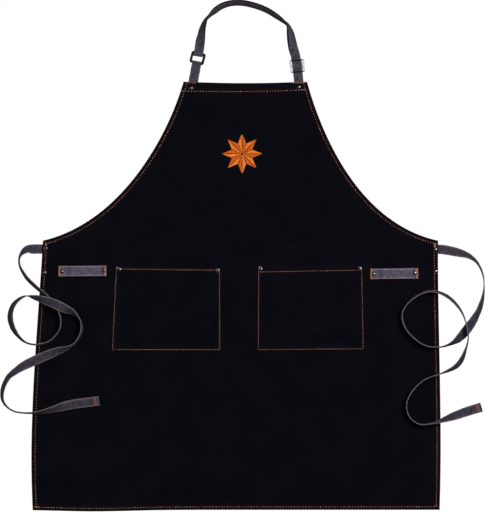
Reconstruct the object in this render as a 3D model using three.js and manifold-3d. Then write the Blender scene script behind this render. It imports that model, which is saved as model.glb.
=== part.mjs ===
// Utility apron laid flat with its front up: a canvas panel with a bib, a neck strap with its ring and
// slider, two side ties, two patch pockets, two towel loops and the rivets that hold them.
// Millimetres, +Z up, the bib towards +Y. The origin is on the floor, under the middle of the apron.
import * as THREE from 'three';
import { mergeVertices } from 'three/addons/utils/BufferGeometryUtils.js';
import Module from 'manifold-3d';

const wasm = await Module();
wasm.setup();

// Cloth and strap sizes
const CLOTH = 1.4;             // canvas wall
const HEM_RISE = 1.0;          // extra height where an edge is folded and sewn
const HEM_WIDTH = 9;           // folded edge along the armholes, the sides and the hem
const FOLD_STEP = 1.5;         // width of the step at a folded edge's inner side
const STRAP_WIDTH = 19;
const STRAP_THICK = 2;
const STRAP_CHAMFER = 0.5;
const GAP = 0.3;               // clearance between neighbouring pieces
const TUCK = 20;               // length of a strap's end behind the panel
const TUCK_LIFT = STRAP_THICK + GAP;
const BIB_TUCK = { flat: 25, fade: 60 };   // the panel is lifted this far round a strap's end, then fades
const TIE_TUCK = { flat: 14, fade: 28 };

// Panel outline: two curves on each side, from the bib's corner down to the hem's corner
const BIB_TOP = 347;
const ARMPIT = 29.4;
const HEM = -509;
const BIB_DIP = 2.6;           // the bib's top edge sags this much between the straps
const HEM_DIP = { depth: 3, middle: -285, reach: 110, fade: 120 };
const SIDE_THIRD = (ARMPIT - HEM) / 3;
const EDGES = {
  left: {
    inward: 1,
    armhole: bezier([-105, BIB_TOP], [-131.6, 252.9], [-220.9, 68.9], [-386, ARMPIT]),
    side: bezier([-386, ARMPIT], [-397, ARMPIT - SIDE_THIRD], [-416, HEM + SIDE_THIRD], [-406.6, HEM]),
  },
  right: {
    inward: -1,
    armhole: bezier([142, BIB_TOP], [164.1, 268], [232.8, 67.4], [404, ARMPIT]),
    side: bezier([404, ARMPIT], [403.4, ARMPIT - SIDE_THIRD], [413.6, HEM + SIDE_THIRD], [407.2, HEM]),
  },
};

// Panel rows: places along the armhole curve, then millimetres down the side
const BIB_HEM_ROWS = [0, 0.067, 0.0725];
const ARMHOLE_ROWS = [0.125, 0.2, 0.3, 0.4, 0.5, 0.6, 0.7, 0.79, 0.87, 0.94, 0.97, 1];
const ARMPIT_RATE = 510;       // millimetres for each unit along the curve at the armpit
const MITRE_REACH = 90;        // the rows turn to the mitre this far from the armpit's corner
const SIDE_ROWS = [8, 16, 24, 34, 50, 95, 150, 215, 280, 340, 385, 425, 465, 509];
const EDGE_COLUMNS = [0, HEM_WIDTH, HEM_WIDTH + FOLD_STEP, 18, 27, 36, 46];
const MIDDLE_COLUMNS = 10;

// Low folds left in the cloth: a line on the floor, its height and its reach to either side
const FOLDS = [
  { from: [-378, -398], to: [-285, -502], height: 4, reach: 36 },
  { from: [-296, -405], to: [-238, -505], height: 2.5, reach: 36 },
];

// Patch pockets: corners as laid, and how far the front stands off the panel
const POCKET_STAND = 6;
const POCKET_SEAM = 13;        // flat sewn border
const POCKET_SWELL = 40;       // the front is fully off the panel this far from its seams
const MOUTH_HEM = 10;
const POCKETS = [
  {
    name: 'pocket_left',
    topLeft: [-241.4, -22.4], topRight: [-30.6, -25.8], lowLeft: [-249.6, -191.2], lowRight: [-30, -191.2],
  },
  {
    name: 'pocket_right',
    topLeft: [42.8, -21.4], topRight: [253.6, -21.8], lowLeft: [41.8, -191.2], lowRight: [257, -189.4],
  },
];

// Towel loops: straps riveted at both ends, slack between them
const LOOP_WIDTH = 21;
const LOOP_SLACK = 6;
const LOOPS = [
  { name: 'towel_loop_left', start: [-355, -31.8], end: [-259, -31] },
  { name: 'towel_loop_right', start: [268.4, -37.2], end: [364.4, -36.1] },
];
const LOOP_SHAPE = [
  { along: 0, rise: 0 }, { along: 0.08, rise: 0 }, { along: 0.14, rise: 0.02 }, { along: 0.2, rise: 0.4 },
  { along: 0.27, rise: 0.88 }, { along: 0.36, rise: 1 }, { along: 0.5, rise: 1.03 }, { along: 0.64, rise: 1 },
  { along: 0.73, rise: 0.88 }, { along: 0.8, rise: 0.4 }, { along: 0.86, rise: 0.02 },
  { along: 0.92, rise: 0 }, { along: 1, rise: 0 },
];

// Rivets: where each one is and what lies under its cap
const CAP_RADIUS = 4;
const CAP_HEIGHT = 2.1;
const SHANK_RADIUS = 1.5;
const RIVET_SIDES = 10;
const RIVETS = [
  { name: 'bib_rivet_left', x: -90, y: 334, on: 'hem', strap: 'neck_tab' },
  { name: 'bib_rivet_right', x: 125.6, y: 336, on: 'hem', strap: 'neck_strap' },
  { name: 'side_rivet_left_upper', x: -380.5, y: 14, on: 'hem', strap: 'tie_left' },
  { name: 'side_rivet_left_lower', x: -383, y: -35.4, on: 'hem' },
  { name: 'side_rivet_right_upper', x: 398.5, y: 11, on: 'hem', strap: 'tie_right' },
  { name: 'side_rivet_right_lower', x: 399, y: -32.4, on: 'hem' },
  { name: 'pocket_left_rivet_outer', x: -233, y: -28.2, on: 'pocket', strap: 'pocket_left' },
  { name: 'pocket_left_rivet_inner', x: -36, y: -31.2, on: 'pocket', strap: 'pocket_left' },
  { name: 'pocket_right_rivet_inner', x: 49.6, y: -28, on: 'pocket', strap: 'pocket_right' },
  { name: 'pocket_right_rivet_outer', x: 248, y: -27.4, on: 'pocket', strap: 'pocket_right' },
  { name: 'loop_left_rivet_outer', x: -348.6, y: -32.4, on: 'loop', strap: 'towel_loop_left' },
  { name: 'loop_left_rivet_inner', x: -265.6, y: -30.6, on: 'loop', strap: 'towel_loop_left' },
  { name: 'loop_right_rivet_inner', x: 275, y: -37.8, on: 'loop', strap: 'towel_loop_right' },
  { name: 'loop_right_rivet_outer', x: 357.2, y: -35.8, on: 'loop', strap: 'towel_loop_right' },
];

// Neck strap: the ring and the slider, each with the lean of its strap and its own turn in plan.
// The strap leans more above the slider, and its folds lie this far from the ring's middle
const BAR = 3;
const RING = {
  x: -76.7, y: 394.4, lean: -10.5, turn: -15, across: 28, along: 23, thick: 2.4, sideBar: 3.4, endBar: 2.4,
};
const RING_FOLDS = { strap: 6.3, tab: -9.4 };
const SLIDER = {
  x: 122.4, y: 378.4, lean: 5.5, above: 10, turn: 5.5, across: 29.5, along: 25.5, thick: 2.2, sideBar: 4.9,
};
const LAYER_GAP = 0.4;
const LAYER = (STRAP_THICK + LAYER_GAP) / 2;        // each layer's middle from the doubled strap's middle
const DOUBLED_HALF = LAYER + STRAP_THICK / 2;
const RING_LOW = STRAP_THICK + GAP;
const FOLD_RADIUS = RING.thick / 2 + GAP + STRAP_THICK / 2;
const SLIDER_LOW = 2 * DOUBLED_HALF + 0.5;
const SLIDER_HUMP = SLIDER_LOW + SLIDER.thick + GAP + STRAP_THICK / 2 + 0.4;

// Route of the doubled neck strap from the ring round to the slider: roll 0 lies flat, 90 stands on
// edge, and gap is the room between its two layers
const NECK_STEPS = 54;
const NECK_ROUTE = [
  { x: -73, y: 416, roll: -4, gap: 1 },
  { x: -72.2, y: 422, roll: -15, gap: 1.2 },
  { x: -70, y: 435, roll: -40, gap: 1.5 },
  { x: -66, y: 456, roll: -62, gap: 1.6 },
  { x: -58.5, y: 474, roll: -79, gap: 1.6 },
  { x: -43.6, y: 490, roll: -105, gap: 1.6 },
  { x: -29, y: 498.5, roll: -110, gap: 1.6 },
  { x: -12, y: 503.2, roll: -112, gap: 1.6 },
  { x: 9, y: 504.5, roll: -112, gap: 1.6 },
  { x: 37, y: 499, roll: -112, gap: 1.6 },
  { x: 62.6, y: 490, roll: -107, gap: 1.6 },
  { x: 81.4, y: 479.8, roll: -99, gap: 1.6 },
  { x: 93.4, y: 471.2, roll: -90, gap: 1.6 },
  { x: 103.6, y: 460.2, roll: -76, gap: 1.8 },
  { x: 108.6, y: 443.6, roll: -50, gap: 2.6 },
  { x: 111.4, y: 427.5, roll: -37, gap: 3 },
  { x: 114.2, y: 414, roll: -22, gap: 2.4 },
  { x: 116.5, y: 406.5, roll: -6, gap: 1.6 },
];

// Routes of the side ties from behind the panel to their free ends: roll as above, and lift is the
// height of what the strap lies on
const TIE_STEPS = 78;
const TIE_LEFT_ROUTE = [
  { x: -363, y: 12, roll: 0, lift: 0 },
  { x: -404, y: 12.4, roll: 0, lift: 0 },
  { x: -419, y: 10.5, roll: 42, lift: 0 },
  { x: -431, y: -1, roll: 74, lift: 0 },
  { x: -432.5, y: -18, roll: 79, lift: 0.3 },
  { x: -418, y: -45, roll: 68, lift: 2 },
  { x: -390, y: -71.5, roll: 69, lift: 3 },
  { x: -380, y: -80.5, roll: 64, lift: 2.8 },
  { x: -366, y: -94, roll: 82, lift: 2.2 },
  { x: -354, y: -111, roll: 97, lift: 2 },
  { x: -350, y: -128, roll: 91, lift: 1.9 },
  { x: -352.4, y: -147.5, roll: 88, lift: 1.9 },
  { x: -373, y: -172, roll: 97, lift: 2.3 },
  { x: -405, y: -178, roll: 98, lift: 2.8 },
  { x: -426, y: -170, roll: 104, lift: 0.8 },
  { x: -446, y: -144, roll: 122, lift: 0 },
  { x: -451, y: -120, roll: 127, lift: 0 },
  { x: -442, y: -96, roll: 116, lift: 0.8 },
  { x: -421, y: -82, roll: 96, lift: 3 },
  { x: -402, y: -84.4, roll: 60, lift: 7 },
  { x: -381, y: -89.8, roll: 33, lift: 13.4 },
  { x: -359.5, y: -97.8, roll: 9, lift: 22.4 },
  { x: -346.5, y: -103.8, roll: 16, lift: 21.8 },
  { x: -324, y: -115.8, roll: 62, lift: 5 },
  { x: -310.5, y: -130.5, roll: 91, lift: 1.9 },
  { x: -308.8, y: -152, roll: 100, lift: 1.9 },
  { x: -322, y: -175, roll: 94, lift: 1.9 },
  { x: -336, y: -184, roll: 109, lift: 1.9 },
  { x: -354, y: -190, roll: 138, lift: 1.9 },
  { x: -381, y: -201, roll: 172, lift: 2.9 },
  { x: -408, y: -213, roll: 180, lift: 2.9 },
  { x: -432.5, y: -226, roll: 216, lift: 1.2 },
  { x: -456, y: -246, roll: 238, lift: 0 },
  { x: -466.5, y: -270, roll: 244, lift: 0 },
  { x: -465, y: -292, roll: 254, lift: 0 },
  { x: -447, y: -310, roll: 261, lift: 0.6 },
  { x: -408, y: -315, roll: 259, lift: 2.9 },
  { x: -372, y: -309, roll: 236, lift: 2.6 },
  { x: -333, y: -299, roll: 196, lift: 1.9 },
  { x: -273, y: -291, roll: 180, lift: 1.9 },
];
const TIE_RIGHT_ROUTE = [
  { x: 384, y: 12, roll: 0, lift: 0 },
  { x: 412, y: 11.6, roll: 0, lift: 0 },
  { x: 438, y: 6.6, roll: -20, lift: 0 },
  { x: 463, y: -1, roll: -53, lift: 0 },
  { x: 481, y: -14, roll: -73, lift: 0 },
  { x: 493, y: -38, roll: -81, lift: 0 },
  { x: 495.5, y: -63, roll: -84, lift: 0 },
  { x: 491, y: -92, roll: -63, lift: 0 },
  { x: 484, y: -112, roll: -51, lift: 0 },
  { x: 473.5, y: -131, roll: -32, lift: 0 },
  { x: 461.5, y: -148.5, roll: -12, lift: 0 },
  { x: 446, y: -165, roll: -36, lift: 0.4 },
  { x: 430, y: -176, roll: -70, lift: 1.6 },
  { x: 409, y: -183, roll: -84, lift: 2.9 },
  { x: 379, y: -180.5, roll: -90, lift: 2.6 },
  { x: 354, y: -164, roll: -93, lift: 1.9 },
  { x: 337, y: -142, roll: -95, lift: 1.9 },
  { x: 332, y: -118, roll: -94, lift: 1.9 },
  { x: 342, y: -97.5, roll: -92, lift: 1.9 },
  { x: 363.8, y: -79.4, roll: -84, lift: 1.9 },
  { x: 388, y: -71.5, roll: -83, lift: 2.7 },
  { x: 410.6, y: -76.2, roll: -74, lift: 2.9 },
  { x: 430.2, y: -88.4, roll: -71, lift: 1.4 },
  { x: 447.5, y: -108.2, roll: -77, lift: 3.5 },
  { x: 457, y: -128.4, roll: -84, lift: 9.4 },
  { x: 462, y: -148, roll: -84, lift: 9 },
  { x: 463.6, y: -165, roll: -84, lift: 6 },
  { x: 458.4, y: -188.6, roll: -75, lift: 1.4 },
  { x: 448.4, y: -212, roll: -56, lift: 0 },
  { x: 435.2, y: -224.6, roll: -63, lift: 1 },
  { x: 406, y: -237.5, roll: -84, lift: 2.9 },
  { x: 377.5, y: -248.2, roll: -86, lift: 2.2 },
  { x: 353.2, y: -270.4, roll: -85, lift: 1.9 },
  { x: 340.8, y: -296.8, roll: -87, lift: 1.9 },
  { x: 346, y: -322, roll: -90, lift: 1.9 },
  { x: 366, y: -337, roll: -90, lift: 1.9 },
  { x: 398, y: -334, roll: -81, lift: 2.9 },
  { x: 430, y: -323.5, roll: -43, lift: 2.4 },
  { x: 460, y: -313, roll: -12, lift: 0.5 },
  { x: 491, y: -303.5, roll: 0, lift: 0 },
];

const CANVAS = new THREE.MeshStandardMaterial({ color: 0x15161c, roughness: 0.95, metalness: 0 });
const DENIM = new THREE.MeshStandardMaterial({ color: 0x4a4752, roughness: 0.9, metalness: 0 });
const BLACK_METAL = new THREE.MeshStandardMaterial({ color: 0x101012, roughness: 0.4, metalness: 0.6 });
const DARK_STEEL = new THREE.MeshStandardMaterial({ color: 0x3a3836, roughness: 0.25, metalness: 1 });

// Small helpers

function bezier(...corners) {
  return new THREE.CubicBezierCurve(...corners.map(([x, y]) => new THREE.Vector2(x, y)));
}

function smoothStep(low, high, value) {
  const part = Math.min(Math.max((value - low) / (high - low), 0), 1);
  return part * part * (3 - 2 * part);
}

function distanceToLine(x, y, [x1, y1], [x2, y2]) {
  const length = Math.hypot(x2 - x1, y2 - y1);
  const along = ((x - x1) * (x2 - x1) + (y - y1) * (y2 - y1)) / (length * length);
  const place = Math.min(Math.max(along, 0), 1);
  return Math.hypot(x - x1 - place * (x2 - x1), y - y1 - place * (y2 - y1));
}

function leanDirection(degrees) {
  const angle = THREE.MathUtils.degToRad(degrees);
  return new THREE.Vector2(-Math.sin(angle), Math.cos(angle));
}

function solidOf(geometry) {
  const plain = geometry.clone();
  plain.deleteAttribute('normal');
  plain.deleteAttribute('uv');
  const merged = mergeVertices(plain, 1e-4);
  return new wasm.Manifold(new wasm.Mesh({
    numProp: 3,
    vertProperties: merged.attributes.position.array,
    triVerts: new Uint32Array(merged.index.array),
  }));
}

function geometryOf(solid) {
  const mesh = solid.getMesh();
  const geometry = new THREE.BufferGeometry();
  geometry.setAttribute('position', new THREE.BufferAttribute(mesh.vertProperties, 3));
  geometry.setIndex(new THREE.BufferAttribute(mesh.triVerts, 1));
  geometry.computeVertexNormals();
  return geometry;
}

function drill(geometry, rivets) {
  let solid = solidOf(geometry);
  for (const rivet of rivets) {
    const hole = new THREE.CylinderGeometry(SHANK_RADIUS + GAP, SHANK_RADIUS + GAP, 60, RIVET_SIDES);
    hole.rotateX(Math.PI / 2);
    hole.translate(rivet.x, rivet.y, 0);
    solid = solid.subtract(solidOf(hole));
  }
  return geometryOf(solid);
}

// A cloth wall from a grid of places, each with the heights of its under and upper faces
function clothWall(grid) {
  const rows = grid.length;
  const columns = grid[0].length;
  const positions = [];
  const faces = [];
  for (const face of ['over', 'under']) {
    for (const row of grid) {
      for (const place of row) positions.push(place.x, place.y, place[face]);
    }
  }
  const top = (row, column) => row * columns + column;
  const low = (row, column) => rows * columns + row * columns + column;
  const quad = (a, b, c, d) => faces.push(a, b, c, a, c, d);
  for (let row = 0; row < rows - 1; row += 1) {
    for (let column = 0; column < columns - 1; column += 1) {
      quad(top(row, column), top(row + 1, column), top(row + 1, column + 1), top(row, column + 1));
      quad(low(row, column), low(row, column + 1), low(row + 1, column + 1), low(row + 1, column));
    }
  }
  const last = { row: rows - 1, column: columns - 1 };
  for (let column = 0; column < last.column; column += 1) {
    quad(top(0, column), top(0, column + 1), low(0, column + 1), low(0, column));
    quad(top(last.row, column + 1), top(last.row, column), low(last.row, column), low(last.row, column + 1));
  }
  for (let row = 0; row < last.row; row += 1) {
    quad(top(row + 1, 0), top(row, 0), low(row, 0), low(row + 1, 0));
    quad(top(row, last.column), top(row + 1, last.column), low(row + 1, last.column), low(row, last.column));
  }
  const geometry = new THREE.BufferGeometry();
  geometry.setAttribute('position', new THREE.Float32BufferAttribute(positions, 3));
  geometry.setIndex(faces);
  geometry.computeVertexNormals();
  return geometry;
}

// Panel

const RING_UP = leanDirection(RING.lean);
const SLIDER_UP = leanDirection(SLIDER.lean);
const SLIDER_ABOVE = leanDirection(SLIDER.above);

function bibEdgeUnder(fitting, up) {
  const drop = (BIB_TOP - fitting.y) / up.y;
  return [fitting.x + drop * up.x, BIB_TOP];
}

function tuckLine([x, y], direction, lifted) {
  return { from: [x, y], to: [x - TUCK * direction.x, y - TUCK * direction.y], ...lifted };
}

const TUCKS = [
  tuckLine(bibEdgeUnder(RING, RING_UP), RING_UP, BIB_TUCK),
  tuckLine(bibEdgeUnder(SLIDER, SLIDER_UP), SLIDER_UP, BIB_TUCK),
  tuckLine([EDGES.left.side.v0.x, TIE_LEFT_ROUTE[0].y], new THREE.Vector2(-1, 0), TIE_TUCK),
  tuckLine([EDGES.right.side.v0.x, TIE_RIGHT_ROUTE[0].y], new THREE.Vector2(1, 0), TIE_TUCK),
];

// Height of the panel's underside: over the tucked straps and the low folds, else on the floor
function panelUnder(x, y) {
  let height = 0;
  for (const tuck of TUCKS) {
    const distance = distanceToLine(x, y, tuck.from, tuck.to);
    height = Math.max(height, TUCK_LIFT * (1 - smoothStep(tuck.flat, tuck.fade, distance)));
  }
  for (const fold of FOLDS) {
    const distance = distanceToLine(x, y, fold.from, fold.to);
    height = Math.max(height, fold.height * (1 - smoothStep(0, 2 * fold.reach, distance)));
  }
  return height;
}

// The way in from a curve, square to it
function squareIn(curve, along, inward) {
  const tangent = curve.getTangent(along);
  return new THREE.Vector2(-tangent.y, tangent.x).multiplyScalar(inward);
}

// One place on an edge and the way in from it: level along the bib top and the sides, square to the
// curve towards the armpit, and turning to the mitre at the armpit's corner
function edgePlace(edge, station) {
  const curve = edge[station.curve];
  const level = new THREE.Vector2(edge.inward, 0);
  const square = squareIn(edge.armhole, 1, edge.inward);
  const mitre = square.clone().add(level).divideScalar(1 + square.dot(level));
  let own = level;
  if (station.curve === 'armhole') {
    const normal = squareIn(curve, station.along, edge.inward);
    own = level.clone().divideScalar(normal.dot(level)).lerp(normal, smoothStep(0, 0.5, station.along));
  }
  const inset = mitre.lerp(own, smoothStep(0, MITRE_REACH, station.corner));
  return { point: curve.getPoint(station.along), inset };
}

function panelStations() {
  const length = ARMPIT - HEM;
  const onArmhole = (along, hem) => ({ curve: 'armhole', along, hem, corner: (1 - along) * ARMPIT_RATE });
  const onSide = (depth, hem) => ({ curve: 'side', along: depth / length, hem, corner: depth });
  return [
    ...BIB_HEM_ROWS.map((along) => onArmhole(along, along < BIB_HEM_ROWS[2])),
    ...ARMHOLE_ROWS.map((along) => onArmhole(along, false)),
    ...SIDE_ROWS.map((depth) => onSide(depth, false)),
    onSide(length - HEM_WIDTH - FOLD_STEP, false),
    onSide(length - HEM_WIDTH, true),
    onSide(length, true),
  ];
}

// Sag of the bib's top edge between the straps, and of the hem at its lower left
function edgeSag(x, y, across) {
  const bib = -BIB_DIP * Math.sin(Math.PI * across) * smoothStep(BIB_TOP - 80, BIB_TOP, y);
  const spread = (x - HEM_DIP.middle) / HEM_DIP.reach;
  const hem = -HEM_DIP.depth * Math.exp(-spread * spread) * (1 - smoothStep(HEM, HEM + HEM_DIP.fade, y));
  return bib + hem;
}

function panelRow(station) {
  const left = edgePlace(EDGES.left, station);
  const right = edgePlace(EDGES.right, station);
  const places = (edge) => EDGE_COLUMNS.map((depth) => edge.point.clone().addScaledVector(edge.inset, depth));
  const from = places(left);
  const to = places(right).reverse();
  const middle = [];
  for (let column = 1; column < MIDDLE_COLUMNS; column += 1) {
    middle.push(from[from.length - 1].clone().lerp(to[0], column / MIDDLE_COLUMNS));
  }
  const points = [...from, ...middle, ...to];
  return points.map((point, column) => {
    const folded = station.hem || column < 2 || column > points.length - 3;
    const across = (point.x - left.point.x) / (right.point.x - left.point.x);
    const y = point.y + edgeSag(point.x, point.y, across);
    const under = panelUnder(point.x, y);
    return { x: point.x, y, under, over: under + CLOTH + (folded ? HEM_RISE : 0) };
  });
}

function panelGeometry() {
  return clothWall(panelStations().map(panelRow));
}

// Pockets

function gridLines(length, nearStart, nearEnd, middleCount) {
  const first = nearStart[nearStart.length - 1];
  const last = length - nearEnd[nearEnd.length - 1];
  const lines = [...nearStart];
  for (let step = 1; step <= middleCount; step += 1) {
    lines.push(first + ((last - first) * step) / (middleCount + 1));
  }
  return [...lines, ...nearEnd.map((inset) => length - inset).reverse()];
}

function pocketGeometry(pocket) {
  const corner = ([x, y]) => new THREE.Vector2(x, y);
  const width = corner(pocket.lowLeft).distanceTo(corner(pocket.lowRight));
  const height = corner(pocket.lowLeft).distanceTo(corner(pocket.topLeft));
  const seamSteps = [0, POCKET_SEAM, 22, 31, POCKET_SWELL];
  const columns = gridLines(width, seamSteps, seamSteps, 3);
  const rows = gridLines(height, seamSteps, [0, MOUTH_HEM, MOUTH_HEM + FOLD_STEP], 2).reverse();
  return clothWall(rows.map((up) => columns.map((along) => {
    const low = corner(pocket.lowLeft).lerp(corner(pocket.lowRight), along / width);
    const high = corner(pocket.topLeft).lerp(corner(pocket.topRight), along / width);
    const place = low.lerp(high, up / height);
    const swell = [along, width - along, up].map((inset) => smoothStep(POCKET_SEAM, POCKET_SWELL, inset));
    const stand = POCKET_STAND * swell[0] * swell[1] * swell[2];
    const under = panelUnder(place.x, place.y) + CLOTH + GAP + stand;
    const folded = up >= height - MOUTH_HEM - 0.01;
    return { x: place.x, y: place.y, under, over: under + CLOTH + (folded ? HEM_RISE : 0) };
  })));
}

// Straps: a flat section swept from row to row, each row a point and the way across the strap there

function strapSection(width) {
  const x = width / 2;
  const y = STRAP_THICK / 2;
  const cut = STRAP_CHAMFER;
  return [
    [x, -y + cut], [x, y - cut], [x - cut, y], [-x + cut, y],
    [-x, y - cut], [-x, -y + cut], [-x + cut, -y], [x - cut, -y],
  ];
}

// Both faces are split along the same diagonals, so that a twisted strap keeps its thickness
function strapGeometry(rows, width) {
  const curve = new THREE.CatmullRomCurve3(rows.map((row) => row.point), false, 'centripetal');
  const section = strapSection(width);
  const size = section.length;
  const positions = [];
  rows.forEach((row, index) => {
    const tangent = curve.getTangent(index / (rows.length - 1));
    const across = row.across.clone().addScaledVector(tangent, -row.across.dot(tangent)).normalize();
    const normal = tangent.clone().cross(across);
    for (const [x, y] of section) {
      positions.push(...row.point.clone().addScaledVector(across, x).addScaledVector(normal, y));
    }
  });
  const faces = [];
  const last = (rows.length - 1) * size;
  for (let ring = 0; ring < last; ring += size) {
    for (let step = 0; step < size; step += 1) {
      const a = ring + step;
      const b = ring + ((step + 1) % size);
      const c = b + size;
      const d = a + size;
      if (step < size / 2) faces.push(a, b, c, a, c, d);
      else faces.push(a, b, d, b, c, d);
    }
  }
  for (let step = 1; step < size - 1; step += 1) {
    faces.push(0, step + 1, step, last, last + step, last + step + 1);
  }
  const geometry = new THREE.BufferGeometry();
  geometry.setAttribute('position', new THREE.Float32BufferAttribute(positions, 3));
  geometry.setIndex(faces);
  geometry.computeVertexNormals();
  return geometry;
}

// A route table with more rows: a smooth curve in plan, and its other values in proportion between rows
function denseRoute(route, steps) {
  const plan = new THREE.CatmullRomCurve3(
    route.map((row) => new THREE.Vector3(row.x, row.y, 0)), false, 'centripetal',
  );
  const dense = [];
  for (let step = 0; step <= steps; step += 1) {
    const place = (step / steps) * (route.length - 1);
    const index = Math.min(Math.floor(place), route.length - 2);
    const between = (key) => THREE.MathUtils.lerp(route[index][key], route[index + 1][key], place - index);
    const point = plan.getPoint(step / steps);
    dense.push({
      x: point.x, y: point.y, roll: between('roll'), lift: between('lift'), half: between('half'),
    });
  }
  return dense;
}

// Rows of a route table: each row's middle, across and normal from its heading, roll, lift and half its
// thickness
function routeRows(route) {
  return route.map((row, index) => {
    const before = route[Math.max(index - 1, 0)];
    const after = route[Math.min(index + 1, route.length - 1)];
    const heading = new THREE.Vector2(after.x - before.x, after.y - before.y).normalize();
    const angle = THREE.MathUtils.degToRad(row.roll);
    const side = new THREE.Vector3(-heading.y, heading.x, 0);
    const up = new THREE.Vector3(0, 0, 1);
    const across = side.clone().multiplyScalar(Math.cos(angle)).addScaledVector(up, Math.sin(angle));
    const normal = up.clone().multiplyScalar(Math.cos(angle)).addScaledVector(side, -Math.sin(angle));
    const reach = (STRAP_WIDTH / 2) * Math.abs(Math.sin(angle)) + row.half * Math.abs(Math.cos(angle));
    return { point: new THREE.Vector3(row.x, row.y, row.lift + reach), across, normal };
  });
}

function tieGeometry(route) {
  const single = route.map((row) => ({ ...row, half: STRAP_THICK / 2 }));
  return strapGeometry(routeRows(denseRoute(single, TIE_STEPS)), STRAP_WIDTH);
}

function loopGeometry(loop) {
  const start = new THREE.Vector3(...loop.start, 0);
  const end = new THREE.Vector3(...loop.end, 0);
  const heading = end.clone().sub(start).normalize();
  const across = new THREE.Vector3(-heading.y, heading.x, 0);
  const seat = CLOTH + GAP + STRAP_THICK / 2;
  const rows = LOOP_SHAPE.map((row) => {
    const point = start.clone().lerp(end, row.along);
    point.z = seat + LOOP_SLACK * row.rise;
    return { point, across };
  });
  return strapGeometry(rows, LOOP_WIDTH);
}

// Rows beside a fitting: places along its strap, measured from the fitting's middle, at given heights
function fittingRows(fitting, up, acrossSide, places) {
  const across = new THREE.Vector3(-up.y, up.x, 0).multiplyScalar(acrossSide);
  return places.map(([along, height]) => ({
    point: new THREE.Vector3(fitting.x + along * up.x, fitting.y + along * up.y, height), across,
  }));
}

// A half turn round a ring's bar, from the lower layer to the upper one
function foldPlaces(barInner, towards) {
  const middle = RING_LOW + RING.thick / 2;
  return [-90, -60, -30, 0, 30, 60, 90].map((degrees) => {
    const angle = THREE.MathUtils.degToRad(degrees);
    const along = barInner + towards * FOLD_RADIUS * Math.cos(angle);
    return [along, middle + FOLD_RADIUS * Math.sin(angle)];
  });
}

const LOW_LAYER = STRAP_THICK / 2;
const HIGH_LAYER = LOW_LAYER + 2 * LAYER;
const FOLD_TOP = RING_LOW + RING.thick / 2 + FOLD_RADIUS;
const RING_BAR_INNER = RING.along / 2 - RING.endBar;

function neckStrapGeometry() {
  const doubled = NECK_ROUTE.map((row) => ({ ...row, lift: 0, half: STRAP_THICK + row.gap / 2 }));
  const dense = denseRoute(doubled, NECK_STEPS);
  const middle = routeRows(dense);
  const layer = (side) => middle.map((row, index) => {
    const offset = side * (dense[index].half - STRAP_THICK / 2);
    return { point: row.point.clone().addScaledVector(row.normal, offset), across: row.across };
  });
  const sewnEnd = [
    ...fittingRows(SLIDER, SLIDER_UP, -1, [[4, LOW_LAYER]]),
    ...fittingRows(SLIDER, SLIDER_ABOVE, -1, [[13, LOW_LAYER], [22, LOW_LAYER + 0.3]]),
  ];
  const ringLow = fittingRows(RING, RING_UP, 1, [[17, LOW_LAYER + 0.4], [RING_BAR_INNER + 2, LOW_LAYER]]);
  const ringFold = fittingRows(RING, RING_UP, 1, foldPlaces(RING_FOLDS.strap, -1));
  const ringHigh = fittingRows(RING, RING_UP, 1, [
    [RING_BAR_INNER + 2, FOLD_TOP], [RING_BAR_INNER + 5, FOLD_TOP - 0.3], [17, FOLD_TOP - 1.6],
  ]);
  const slotMiddle = (HIGH_LAYER + SLIDER_HUMP) / 2;
  const bibEdge = (BIB_TOP - SLIDER.y) / SLIDER_UP.y;
  const above = fittingRows(SLIDER, SLIDER_ABOVE, -1, [[22, HIGH_LAYER + 1.2], [13, HIGH_LAYER]]);
  const weave = fittingRows(SLIDER, SLIDER_UP, -1, [
    [9.8, HIGH_LAYER + 0.1], [5.6, slotMiddle], [2, SLIDER_HUMP - 0.2],
    [0, SLIDER_HUMP], [-2, SLIDER_HUMP - 0.2], [-5.6, slotMiddle], [-9.8, HIGH_LAYER + 0.1],
    [-13, HIGH_LAYER - 0.2], [bibEdge + 10, LOW_LAYER + 0.9], [bibEdge + 2, LOW_LAYER],
    [bibEdge - TUCK / 2, LOW_LAYER], [bibEdge - TUCK, LOW_LAYER],
  ]);
  const rows = [
    ...sewnEnd, ...layer(-1).reverse(), ...ringLow, ...ringFold, ...ringHigh, ...layer(1), ...above,
    ...weave,
  ];
  return strapGeometry(rows, STRAP_WIDTH);
}

function neckTabGeometry() {
  const bibEdge = (BIB_TOP - RING.y) / RING_UP.y;
  const returnEnd = bibEdge + 25;
  const rows = fittingRows(RING, RING_UP, 1, [
    [returnEnd, LOW_LAYER], [-RING_BAR_INNER - 2, LOW_LAYER],
    ...foldPlaces(RING_FOLDS.tab, 1),
    [-RING_BAR_INNER - 2, FOLD_TOP], [-RING_BAR_INNER - 5, FOLD_TOP - 0.3], [-18, FOLD_TOP - 1.7],
    [returnEnd - 2, HIGH_LAYER + 0.2], [bibEdge + 12, LOW_LAYER + 1], [bibEdge + 3, LOW_LAYER],
    [bibEdge - TUCK / 2, LOW_LAYER], [bibEdge - TUCK, LOW_LAYER],
  ]);
  return strapGeometry(rows, STRAP_WIDTH);
}

// Metal fittings

function roundedOutline(target, width, height, radius) {
  const x = width / 2 - radius;
  const y = height / 2 - radius;
  target.absarc(x, y, radius, 0, Math.PI / 2, false);
  target.absarc(-x, y, radius, Math.PI / 2, Math.PI, false);
  target.absarc(-x, -y, radius, Math.PI, 1.5 * Math.PI, false);
  target.absarc(x, -y, radius, 1.5 * Math.PI, 2 * Math.PI, false);
  target.closePath();
  return target;
}

function slot(width, low, high) {
  const half = width / 2;
  const corners = [[-half, low], [-half, high], [half, high], [half, low]];
  return new THREE.Path(corners.map(([x, y]) => new THREE.Vector2(x, y)));
}

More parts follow.
